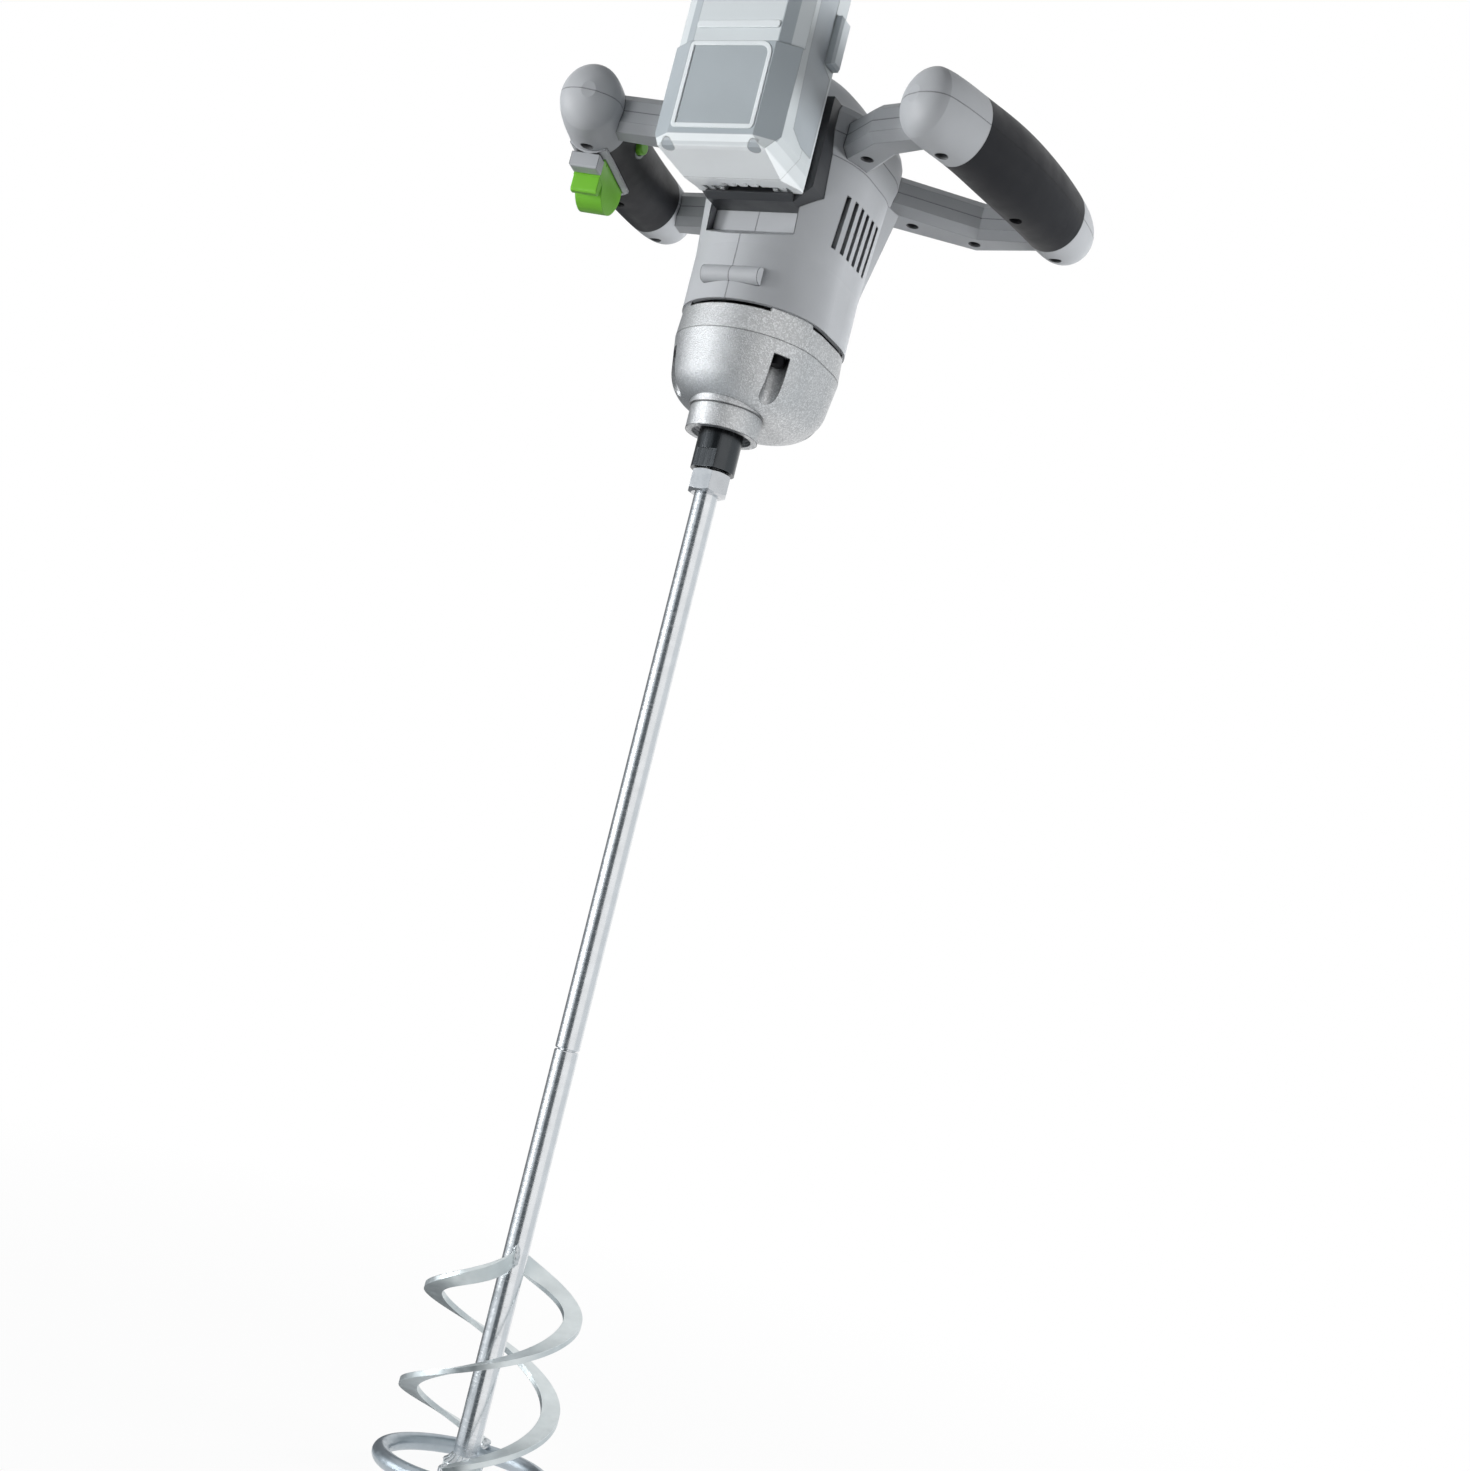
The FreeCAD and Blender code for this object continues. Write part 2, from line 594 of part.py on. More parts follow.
# Gear flange: cast ring with the plate that carries bush, bearings and the motor's nose
def gear_flange():
    top_radius = BODY_RADIUS - FLANGE_LIP
    outer = oblong([(0, GEAR_SEAM), (BODY_RADIUS, GEAR_SEAM), (top_radius, FLANGE_TOP), (0, FLANGE_TOP)])
    inner = FLANGE_ROOM_RADIUS
    lower_room = oblong([(0, GEAR_SEAM - OVERRUN), (inner, GEAR_SEAM - OVERRUN), (inner, PLATE_BOTTOM),
                         (0, PLATE_BOTTOM)])
    upper_room = oblong([(0, PLATE_TOP), (inner, PLATE_TOP), (inner, FLANGE_TOP + OVERRUN),
                         (0, FLANGE_TOP + OVERRUN)])
    body = outer.cut([lower_room, upper_room])
    body = joined([body] + pillars(GEAR_SEAM, FLANGE_TOP))
    front_slot = box(-EXHAUST_FRONT_WIDTH / 2, EXHAUST_FRONT_WIDTH / 2, BODY_FRONT - OVERRUN, FRONT_CENTRE,
                     FLANGE_TOP - EXHAUST_HEIGHT, FLANGE_TOP + OVERRUN)
    side_slot = box(-BODY_RADIUS - OVERRUN, BODY_RADIUS + OVERRUN, MOTOR_OFFSET - EXHAUST_SIDE_WIDTH / 2,
                    MOTOR_OFFSET + EXHAUST_SIDE_WIDTH / 2, FLANGE_TOP - EXHAUST_HEIGHT, FLANGE_TOP + OVERRUN)
    spindle_bore = rod(SPINDLE_TIP_DIAMETER / 2 + BUSH_WALL + SEAT_GAP, PLATE_TOP - BUSH_LENGTH,
                       PLATE_TOP + OVERRUN)
    spindle_way = rod(SPINDLE_TIP_DIAMETER / 2 + BUSH_WALL - SEAT_GAP, GEAR_SEAM, PLATE_TOP)
    lay_bore = rod(LAYSHAFT_DIAMETER / 2 + BUSH_WALL + SEAT_GAP, PLATE_TOP - BUSH_LENGTH,
                   PLATE_TOP + OVERRUN, LAYSHAFT_X, LAYSHAFT_Y)
    lay_way = rod(LAYSHAFT_DIAMETER / 2 + BUSH_WALL - SEAT_GAP, GEAR_SEAM, PLATE_TOP,
                  LAYSHAFT_X, LAYSHAFT_Y)
    motor_bore = rod(MOTOR_BEARING_DIAMETER / 2 + SEAT_GAP, PLATE_TOP - MOTOR_BEARING_WIDTH,
                     PLATE_TOP + OVERRUN, 0, MOTOR_OFFSET)
    motor_way = rod(ROTOR_SHAFT_DIAMETER / 2 + BUSH_WALL, GEAR_SEAM, PLATE_TOP, 0, MOTOR_OFFSET)
    cuts = [front_slot, side_slot, spindle_bore, spindle_way, lay_bore, lay_way, motor_bore, motor_way]
    return body.cut(cuts + gear_screw_holes(GEAR_SEAM, FLANGE_TOP + OVERRUN))


# Motor housing: two moulded halves split on the centre plane
def housing_envelope(inset, z0, z1):
    taper = FLANGE_TOP + HOUSING_TAPER_START
    return oblong([(0, z0), (BODY_RADIUS - inset, z0), (BODY_RADIUS - inset, taper),
                   (HOUSING_TOP_RADIUS - inset, z1), (0, z1)])


def gusset():
    low = [(x * BODY_RADIUS, MOTOR_OFFSET + y * BODY_RADIUS) for x, y in GUSSET_LOW_SHARES]
    top = [(x * BODY_RADIUS, MOTOR_OFFSET + y * BODY_RADIUS) for x, y in GUSSET_TOP_SHARES]
    wedge = Part.makeLoft([outline(low, FLANGE_TOP + GUSSET_FOOT), outline(top, HOUSING_TOP)], True, True)
    return [wedge, mirrored(wedge)]


# The dock's place, cut from all that stands round it
def dock_pocket(gap):
    return front_plate(dock_outline(-gap), BATTERY_FRONT, DOCK_BACK_Y + gap)


# A hollow in the housing's front under the dock, with a sill that slopes out
def housing_hollow(wall):
    depth = HOLLOW_DEPTH_SHARE * (MOTOR_OFFSET - CAN_DIAMETER / 2 - BODY_FRONT)
    floor_y = BODY_FRONT + depth + wall
    low = DOCK_BOTTOM - HOLLOW_HEIGHT - wall
    half = HOLLOW_WIDTH / 2 + wall
    high = DOCK_BOTTOM - SEAT_GAP if wall else DOCK_BOTTOM + OVERRUN
    front = BODY_FRONT if wall else BODY_FRONT - OVERRUN
    run = HOLLOW_SILL / depth
    points = [(front, low - run * (floor_y - front)), (floor_y, low), (floor_y, high), (front, high)]
    corners = [V(-half, y, z) for y, z in points]
    return Part.Face(Part.makePolygon(corners + corners[:1])).extrude(V(2 * half, 0, 0))


def boss_places():
    front = BODY_FRONT + BOSS_RADIUS * BOSS_SINK_SHARE
    rear = REAR_CENTRE + BODY_RADIUS - BOSS_RADIUS * BOSS_SINK_SHARE
    return (front, rear)


BOSS_Z = FLANGE_TOP + BOSS_HEIGHT


def motor_housing():
    outer = housing_envelope(0, FLANGE_TOP, HOUSING_TOP)
    bosses = []
    for y in boss_places():
        boss = cross_rod(BOSS_RADIUS, -BOSS_LENGTH / 2, BOSS_LENGTH / 2, y, BOSS_Z)
        bosses.append(boss)
    solid = joined([outer] + gusset())
    room = housing_envelope(HOUSING_WALL, FLANGE_TOP - OVERRUN, HOUSING_TOP + OVERRUN)
    shell = solid.cut(room)
    supports = []
    for z in (CAN_BOTTOM + MAGNET_MARGIN / 2, CAN_TOP - MAGNET_MARGIN):
        web = room.common(box(-BODY_RADIUS, BODY_RADIUS, BODY_FRONT, REAR_CENTRE + BODY_RADIUS,
                              z, z + RIB_THICKNESS))
        supports.append(web.cut(rod(CAN_DIAMETER / 2 + SEAT_GAP, z - OVERRUN, z + RIB_THICKNESS + OVERRUN,
                                    0, MOTOR_OFFSET)))
    seat_top = CAN_TOP + SEAT_GAP + MOTOR_BEARING_WIDTH + RIB_THICKNESS
    seat = room.common(box(-HOUSING_TOP_RADIUS, HOUSING_TOP_RADIUS, FRONT_CENTRE - HOUSING_TOP_RADIUS,
                           REAR_CENTRE + HOUSING_TOP_RADIUS, CAN_TOP + SEAT_GAP, seat_top))
    window = tube(BODY_RADIUS - HOUSING_WALL - RIB_THICKNESS, MOTOR_BEARING_DIAMETER / 2 + SEAT_WALL,
                  CAN_TOP - OVERRUN, seat_top + OVERRUN, 0, MOTOR_OFFSET)
    spoke = box(-SPOKE_WIDTH / 2, SPOKE_WIDTH / 2, BODY_FRONT, REAR_CENTRE + BODY_RADIUS,
                CAN_TOP - OVERRUN, seat_top + OVERRUN)
    cross = box(-BODY_RADIUS, BODY_RADIUS, MOTOR_OFFSET - SPOKE_WIDTH / 2, MOTOR_OFFSET + SPOKE_WIDTH / 2,
                CAN_TOP - OVERRUN, seat_top + OVERRUN)
    seat = seat.cut(window.cut([spoke, cross]))
    seat = seat.cut(rod(MOTOR_BEARING_DIAMETER / 2 + SEAT_GAP, CAN_TOP - OVERRUN,
                        CAN_TOP + SEAT_GAP + MOTOR_BEARING_WIDTH, 0, MOTOR_OFFSET))
    feet = [post.common(outer) for post in pillars(FLANGE_TOP, GEAR_SCREW_TOP + PILLAR_WALL)]
    hollow = housing_hollow(HOUSING_WALL).common(outer)
    shell = joined([shell] + supports + [seat, hollow] + feet + bosses)
    slots = []
    for index in range(VENT_COUNT):
        y = VENT_CENTRE + VENT_PITCH * (index - (VENT_COUNT - 1) / 2)
        sill = FLANGE_TOP + VENT_SILL
        slots.append(box(-HOUSING_TOP_RADIUS - OVERRUN, -BODY_RADIUS + HOUSING_WALL + OVERRUN,
                         y - VENT_WIDTH / 2, y + VENT_WIDTH / 2, sill, sill + VENT_HEIGHT))
        slots.append(mirrored(slots[-1]))
    holes = gear_screw_holes(FLANGE_TOP, GEAR_SCREW_TOP + SEAT_GAP)
    for y in boss_places():
        holes.append(cross_rod(HOUSING_SCREW_DIAMETER / 2 + SEAT_GAP, -BOSS_LENGTH / 2 - OVERRUN,
                               BOSS_LENGTH / 2 - BOSS_RADIUS, y, BOSS_Z))
        holes.append(cross_rod(HOUSING_SCREW_HEAD_DIAMETER / 2 + SEAT_GAP, -BOSS_LENGTH / 2 - OVERRUN,
                               -BOSS_LENGTH / 2 + HOUSING_SCREW_HEAD_DEPTH, y, BOSS_Z))
    return shell.cut(slots + holes + [housing_hollow(0), dock_pocket(SEAT_GAP)])


def housing_screws():
    screws = []
    seat = -BOSS_LENGTH / 2 + HOUSING_SCREW_HEAD_DEPTH - SEAT_GAP
    for y in boss_places():
        head = cross_rod(HOUSING_SCREW_HEAD_DIAMETER / 2, seat - HOUSING_SCREW_HEAD_LENGTH, seat, y, BOSS_Z)
        shank = cross_rod(HOUSING_SCREW_DIAMETER / 2, seat, BOSS_LENGTH / 2 - BOSS_RADIUS - SEAT_GAP, y, BOSS_Z)
        screws.append(joined([head, shank]))
    return Part.makeCompound(screws)


# Arms: a kinked plan outline at four heights, wide at mid height and chamfered above and below
def arm_outline(xs, ys, halves, inset, z):
    left_side = []
    right_side = []
    last = len(xs) - 1
    for index in range(len(xs)):
        before = max(index - 1, 0)
        after = min(index + 1, last)
        run_x = xs[after] - xs[before]
        run_y = ys[after] - ys[before]
        length = math.hypot(run_x, run_y)
        half = halves[index] - inset
        left_side.append((xs[index] - run_y / length * half, ys[index] + run_x / length * half))
        right_side.append((xs[index] + run_y / length * half, ys[index] - run_x / length * half))
    return outline(left_side + right_side[::-1], z)


def arm(xs, ys, halves, inset):
    half = ARM_HALF_HEIGHT - inset
    cheek = half - ARM_CHAMFER
    levels = ((-half, ARM_CHAMFER), (-cheek, 0), (cheek, 0), (half, ARM_CHAMFER))
    wires = [arm_outline(xs, ys, halves, inset + chamfer, PARTING + z) for z, chamfer in levels]
    return Part.makeLoft(wires, True, True)


def arms(inset):
    front = arm(FRONT_ARM_X, FRONT_ARM_Y, FRONT_ARM_HALF_WIDTH, inset)
    rear = arm(REAR_ARM_X, REAR_ARM_Y, REAR_ARM_HALF_WIDTH, inset)
    return [front, rear, mirrored(front), mirrored(rear)]


# Handles: elliptical sections square to a bowed centre line
def handle_x(y):
    return HANDLE_REACH - HANDLE_BOW_RADIUS + math.sqrt(HANDLE_BOW_RADIUS ** 2 - (HANDLE_SQUARE_Y - y) ** 2)


def handle_lean(y):
    return math.asin((HANDLE_SQUARE_Y - y) / HANDLE_BOW_RADIUS)


def handle_place(y):
    lean = handle_lean(y)
    across = V(math.cos(lean), -math.sin(lean), 0)
    along = V(math.sin(lean), math.cos(lean), 0)
    return FreeCAD.Placement(V(handle_x(y), y, PARTING), FreeCAD.Rotation(across, along, V(0, 0, 1), "ZXY"))


def handle_section(y, half_width, half_height):
    lean = handle_lean(y)
    across = V(math.cos(lean), -math.sin(lean), 0)
    along = V(math.sin(lean), math.cos(lean), 0)
    ring = Part.Wire(Part.Ellipse(V(0, 0, 0), half_height, half_width).toShape())
    ring.Placement = FreeCAD.Placement(V(handle_x(y), y, PARTING),
                                       FreeCAD.Rotation(V(0, 0, 1), across * -1, along * -1, "ZXY"))
    return ring


def handle_body(inset, front, rear):
    wires = []
    span = HANDLE_REAR_Y - HANDLE_FRONT_Y
    for along, wide, high in HANDLE_SHARES:
        y = HANDLE_FRONT_Y + front + along * (span - front - rear)
        wires.append(handle_section(y, HANDLE_HALF_WIDTH * wide - inset, HANDLE_HALF_HEIGHT * high - inset))
    return Part.makeLoft(wires, True, False)


def handle_dome():
    first = HANDLE_SHARES[0]
    wires = []
    for along, size in DOME_SHARES:
        y = HANDLE_FRONT_Y - along * DOME_LENGTH
        wires.append(handle_section(y, HANDLE_HALF_WIDTH * first[1] * size, HANDLE_HALF_HEIGHT * first[2] * size))
    return Part.makeLoft(wires, True, False)


def grip_zone():
    reach = HANDLE_HALF_WIDTH + HANDLE_HALF_HEIGHT
    front = box(-reach, reach, 0, HANDLE_REAR_Y, -reach, reach)
    front.Placement = handle_place(GRIP_FRONT_Y)
    rear = box(-reach, reach, -HANDLE_REAR_Y, 0, -reach, reach)
    rear.Placement = handle_place(GRIP_REAR_Y)
    return front.common(rear)


def handle_whole():
    return joined([handle_body(0, 0, 0), handle_dome()])


def handle_grip():
    return handle_body(0, 0, 0).common(grip_zone()).cut(handle_body(GRIP_THICKNESS, 0, 0))


def handle_room():
    inset = GRIP_THICKNESS + FRAME_WALL
    return handle_body(inset, FRAME_WALL, HANDLE_HALF_WIDTH)


# Frame screws stand in posts inside handles and arms
def arm_point(xs, ys, share):
    return (xs[0] + (xs[1] - xs[0]) * share, ys[0] + (ys[1] - ys[0]) * share)


def frame_screw_places():
    right = [(handle_x(y), y) for y in HANDLE_SCREW_Y]
    right.append(arm_point(FRONT_ARM_X, FRONT_ARM_Y, ARM_SCREW_SHARES[0]))
    right.append(arm_point(REAR_ARM_X, REAR_ARM_Y, ARM_SCREW_SHARES[1]))
    right.append(arm_point(REAR_ARM_X, REAR_ARM_Y, ARM_SCREW_SHARES[2]))
    return right + [(-x, y) for x, y in right]


HEAD_SEAT = PARTING - FRAME_HEAD_BELOW_PARTING


def frame_screws():
    screws = []
    for x, y in frame_screw_places():
        head = rod(FRAME_SCREW_HEAD_DIAMETER / 2, HEAD_SEAT - SEAT_GAP - FRAME_SCREW_HEAD_HEIGHT,
                   HEAD_SEAT - SEAT_GAP, x, y)
        shank = rod(FRAME_SCREW_DIAMETER / 2, HEAD_SEAT - SEAT_GAP, PARTING + FRAME_SCREW_BITE, x, y)
        screws.append(joined([head, shank]))
    return Part.makeCompound(screws)


def frame_posts():
    radius = FRAME_HOLE_DIAMETER / 2 + PILLAR_WALL
    reach = HANDLE_HALF_HEIGHT
    return [rod(radius, PARTING - reach, PARTING + reach, x, y) for x, y in frame_screw_places()]


def frame_holes():
    reach = HANDLE_HALF_HEIGHT + OVERRUN
    holes = []
    for x, y in frame_screw_places():
        holes.append(rod(FRAME_HOLE_DIAMETER / 2, PARTING - reach, HEAD_SEAT, x, y))
        holes.append(rod(FRAME_SCREW_DIAMETER / 2 + SEAT_GAP, HEAD_SEAT - OVERRUN,
                         PARTING + FRAME_SCREW_BITE + SEAT_GAP, x, y))
    return holes


def frame_band(inset):
    return oblong([(0, HOUSING_TOP - (OVERRUN if inset else 0)),
                   (HOUSING_TOP_RADIUS - inset, HOUSING_TOP - (OVERRUN if inset else 0)),
                   (BAND_RADIUS - inset, PARTING),
                   (BAND_RADIUS - inset, PARTING + ARM_HALF_HEIGHT),
                   (BAND_TOP_RADIUS - inset, BAND_TOP + (OVERRUN if inset else 0)),
                   (0, BAND_TOP + (OVERRUN if inset else 0))])


def handle_frame(grip):
    handle = handle_whole().cut(grip)
    solid = joined([frame_band(0)] + arms(0) + [handle, mirrored(handle)])
    room = handle_room()
    hollow = joined([frame_band(FRAME_WALL)] + arms(FRAME_WALL) + [room, mirrored(room)])
    shell = solid.cut(hollow.cut(frame_posts() + switch_ribs()))
    for tools in (frame_holes(), [dock_pocket(SEAT_GAP)], [trigger_well(), trigger_way()], [lock_well()],
                  [switch_block(SEAT_GAP)]):
        shell = shell.cut(tools)
    return shell


# Top cover: a lofted dome over the frame's band
def cover_loft(inset, drop):
    wires = []
    for rise, size, front, rear in TOP_COVER_SHARES:
        z = BAND_TOP - drop + rise * (TOP_COVER_HEIGHT - inset)
        radius = max(BAND_TOP_RADIUS * size - inset, TOP_COVER_WALL)
        wires.append(oblong_wire(FRONT_CENTRE * front, REAR_CENTRE * rear, radius, z))
    return Part.makeLoft(wires, True, False)


def top_cover():
    low, high = BAND_TOP - OVERRUN, COVER_TOP + OVERRUN
    front = box(-BAND_RADIUS, BAND_RADIUS, BATTERY_FRONT, DOCK_FACE_Y, low, high)
    lining = box(-BAND_RADIUS, BAND_RADIUS, BATTERY_FRONT, DOCK_FACE_Y + TOP_COVER_WALL, low, high)
    room = cover_loft(TOP_COVER_WALL, SEAT_GAP).cut(lining)
    return cover_loft(0, 0).cut([front, room])


# Battery dock: an open-backed tray in front of the body, with a T rail for the pack
def dock_outline(inset):
    half = DOCK_WIDTH / 2 - inset
    low, high = DOCK_BOTTOM + inset, DOCK_TOP - inset
    return [(-half + DOCK_CHAMFER, low), (half - DOCK_CHAMFER, low), (half, low + DOCK_CHAMFER),
            (half, high), (-half, high), (-half, low + DOCK_CHAMFER)]


def front_plate(points, y0, y1):
    corners = [V(x, y0, z) for x, z in points]
    return Part.Face(Part.makePolygon(corners + corners[:1])).extrude(V(0, y1 - y0, 0))


LEDGE_FRONT = DOCK_FACE_Y - DOCK_WALL
RAIL_BOTTOM = DOCK_BOTTOM + DOCK_WALL + RAIL_RISE
RAIL_TOP = RAIL_BOTTOM + RAIL_LENGTH_SHARE * (DOCK_TOP - DOCK_BOTTOM)


def rail(gap, z0, z1):
    neck_front = DOCK_FACE_Y - RAIL_NECK
    head_front = neck_front - RAIL_HEAD
    neck = box(-RAIL_NECK_WIDTH / 2 - gap, RAIL_NECK_WIDTH / 2 + gap, neck_front, DOCK_FACE_Y, z0, z1)
    head = box(-RAIL_HEAD_WIDTH / 2 - gap, RAIL_HEAD_WIDTH / 2 + gap, head_front - gap, neck_front + gap,
               z0, z1)
    return joined([neck, head])


def blade_places():
    return [BLADE_PITCH * (index - (BLADE_COUNT - 1) / 2) for index in range(BLADE_COUNT)]


def battery_dock():
    tray = front_plate(dock_outline(0), DOCK_FACE_Y, DOCK_BACK_Y)
    room = front_plate(dock_outline(DOCK_WALL), DOCK_FACE_Y + DOCK_WALL, DOCK_BACK_Y + OVERRUN)
    half = DOCK_WIDTH / 2 - DOCK_CHAMFER
    top = DOCK_BOTTOM + DOCK_WALL
    lip = [(LEDGE_FRONT, top), (LEDGE_FRONT, top - LEDGE_LIP), (DOCK_FACE_Y, DOCK_BOTTOM), (DOCK_FACE_Y, top)]
    corners = [V(-half, y, z) for y, z in lip]
    ledge = Part.Face(Part.makePolygon(corners + corners[:1])).extrude(V(2 * half, 0, 0))
    body = joined([tray.cut(room), rail(0, RAIL_BOTTOM, RAIL_TOP), ledge])
    z0 = RAIL_BOTTOM + BLADE_RISE
    slots = [box(x - BLADE_THICKNESS / 2 - SEAT_GAP, x + BLADE_THICKNESS / 2 + SEAT_GAP,
                 DOCK_FACE_Y - RAIL_NECK - RAIL_HEAD - OVERRUN, DOCK_FACE_Y + DOCK_WALL + OVERRUN,
                 z0 - SEAT_GAP, z0 + BLADE_LENGTH + SEAT_GAP) for x in blade_places()]
    return body.cut(slots)


def dock_contacts():
    z0 = RAIL_BOTTOM + BLADE_RISE
    rail_face = DOCK_FACE_Y - RAIL_NECK - RAIL_HEAD
    blades = [box(x - BLADE_THICKNESS / 2, x + BLADE_THICKNESS / 2, rail_face - BLADE_DEPTH,
                  DOCK_FACE_Y + DOCK_WALL + BLADE_THICKNESS, z0, z0 + BLADE_LENGTH) for x in blade_places()]
    return Part.makeCompound(blades)


# Control board with its heat sink, on the back of the dock's plate
def control_board():
    back = DOCK_FACE_Y + DOCK_WALL
    height = BOARD_HEIGHT_SHARE * (DOCK_TOP - DOCK_BOTTOM)
    z1 = DOCK_TOP - DOCK_WALL - BOARD_STANDOFF
    board_face = back + BOARD_STANDOFF
    board = box(-BOARD_WIDTH / 2, BOARD_WIDTH / 2, board_face, board_face + BOARD_THICKNESS, z1 - height, z1)
    sink = box(-BOARD_WIDTH / 2 * HEATSINK_SHARE, BOARD_WIDTH / 2 * HEATSINK_SHARE,
               board_face + BOARD_THICKNESS, board_face + BOARD_THICKNESS + HEATSINK_THICKNESS,
               z1 - height, z1 - height * (1 - HEATSINK_SHARE))
    legs = []
    for side in (-1, 1):
        for share in (HEATSINK_SHARE / 2, 1 - HEATSINK_SHARE / 2):
            leg = Part.makeCylinder(BOARD_STANDOFF / 2, BOARD_STANDOFF - SEAT_GAP,
                                    V(side * BOARD_WIDTH / 2 * HEATSINK_SHARE, back + SEAT_GAP,
                                      z1 - height * share), V(0, 1, 0))
            legs.append(leg)
    return joined([board, sink] + legs)


# Battery: front and rear shells about the cells, with a label plate and side panels
def inset_outline(points, inset):
    moved = []
    for index, (x, y) in enumerate(points):
        x0, y0 = points[index - 1]
        x2, y2 = points[(index + 1) % len(points)]
        before = math.hypot(x - x0, y - y0)
        after = math.hypot(x2 - x, y2 - y)
        ax, ay = (y0 - y) / before, (x - x0) / before
        bx, by = (y - y2) / after, (x2 - x) / after
        turn = ax * by - ay * bx
        moved.append((x + inset * (by - ay) / turn, y + inset * (ax - bx) / turn))
    return moved


def pack_plan(step):
    half = BATTERY_WIDTH / 2
    y0 = BATTERY_FRONT + step
    right = [(half - FRONT_BEVEL_WIDTH, y0), (half, y0 + FRONT_BEVEL_DEPTH),
             (half, BATTERY_BACK - REAR_BEVEL_DEPTH), (half - REAR_BEVEL_WIDTH, BATTERY_BACK)]
    return right + [(-x, y) for x, y in right[::-1]]


# Side view: a rounded front foot, a bottom that falls to a keel and rises to the dock's ledge
def pack_side():
    foot = [(BATTERY_FRONT + FOOT_ROUND * along, BATTERY_BOTTOM + FOOT_ROUND * up)
            for along, up in FOOT_ROUND_SHARES]
    return foot + [(BATTERY_FRONT + KEEL_SETBACK, BATTERY_BOTTOM - KEEL_DROP),
                   (LEDGE_FRONT - BATTERY_FOOT_GAP, BATTERY_BOTTOM), (BATTERY_BACK, BATTERY_BOTTOM),
                   (BATTERY_BACK, BATTERY_TOP), (BATTERY_FRONT, BATTERY_TOP)]


# Front view: bevels along both sides of the bottom
def pack_face():
    half = BATTERY_WIDTH / 2
    low = BATTERY_BOTTOM - KEEL_DROP
    return [(FOOT_BEVEL_WIDTH - half, low), (half - FOOT_BEVEL_WIDTH, low), (half, low + FOOT_BEVEL_HEIGHT),
            (half, BATTERY_TOP), (-half, BATTERY_TOP), (-half, low + FOOT_BEVEL_HEIGHT)]


def pack_block(inset):
    step = BATTERY_BOTTOM + STEP_RISE
    low = prism(inset_outline(pack_plan(0), inset), BATTERY_BOTTOM - OVERRUN, step - inset)
    high = prism(inset_outline(pack_plan(STEP_DEPTH), inset), BATTERY_BOTTOM - OVERRUN, BATTERY_TOP)
    corners = [V(-BATTERY_WIDTH, y, z) for y, z in inset_outline(pack_side(), inset)]
    side = Part.Face(Part.makePolygon(corners + corners[:1])).extrude(V(2 * BATTERY_WIDTH, 0, 0))
    face = front_plate(inset_outline(pack_face(), inset), BATTERY_FRONT - OVERRUN, BATTERY_BACK + OVERRUN)
    return joined([low, high]).common(side).common(face)


def pack_shell():
    shell = pack_block(0).cut(pack_block(BATTERY_WALL))
    slot_wall = rail(BODY_GAP + TERMINAL_WALL, BATTERY_BOTTOM + BATTERY_WALL, RAIL_TOP + BATTERY_WALL)
    slot_wall = slot_wall.common(pack_block(0))
    shell = joined([shell, slot_wall] + release_seats())
    slot = rail(BODY_GAP, BATTERY_BOTTOM - OVERRUN, RAIL_TOP + BODY_GAP)
    mouth = box(-RAIL_NECK_WIDTH / 2 - BODY_GAP, RAIL_NECK_WIDTH / 2 + BODY_GAP, DOCK_FACE_Y - RAIL_NECK,
                DOCK_FACE_Y, BATTERY_BOTTOM - OVERRUN, RAIL_TOP + BODY_GAP)
    label = box(-LABEL_WIDTH / 2, LABEL_WIDTH / 2, BATTERY_FRONT - OVERRUN, BATTERY_FRONT + LABEL_DEPTH,
                BATTERY_BOTTOM + LABEL_RISE, BATTERY_BOTTOM + LABEL_RISE + LABEL_HEIGHT)
    cuts = [slot, mouth, label] + plug_bores() + terminal_rooms(BLADE_THICKNESS)
    cuts = cuts + release_opening() + side_panels(-SEAT_GAP, BATTERY_WIDTH / 2 + OVERRUN)
    pitch = RIB_SPAN / RIB_COUNT
    for index in range(RIB_COUNT):
        x = pitch * (index - (RIB_COUNT - 1) / 2)
        cuts.append(box(x - RIB_WIDTH / 2, x + RIB_WIDTH / 2, LEDGE_FRONT - BATTERY_FOOT_GAP - RIB_RUN,
                        BATTERY_BACK + OVERRUN, BATTERY_BOTTOM - OVERRUN, BATTERY_BOTTOM + RIB_DEPTH))
    return shell.cut(cuts)


def plug_places():
    return [(side * PLUG_SPACING / 2, BATTERY_FRONT + PLUG_SETBACK) for side in (-1, 1)]


def plug_bores():
    return [rod(PLUG_DIAMETER / 2 + SEAT_GAP, BATTERY_BOTTOM - OVERRUN, BATTERY_BOTTOM + PLUG_DEPTH, x, y)
            for x, y in plug_places()]


def battery_plugs():
    z0, z1 = BATTERY_BOTTOM - OVERRUN, BATTERY_BOTTOM + PLUG_DEPTH - SEAT_GAP
    flush = pack_block(SEAT_GAP)
    return Part.makeCompound([rod(PLUG_DIAMETER / 2, z0, z1, x, y).common(flush) for x, y in plug_places()])


def split_box(front):
    y0 = BATTERY_FRONT - OVERRUN if front else BATTERY_SPLIT
    y1 = BATTERY_SPLIT if front else DOCK_FACE_Y + OVERRUN
    reach = BATTERY_WIDTH
    return box(-reach, reach, y0, y1, BATTERY_BOTTOM - OVERRUN, BATTERY_TOP + OVERRUN)


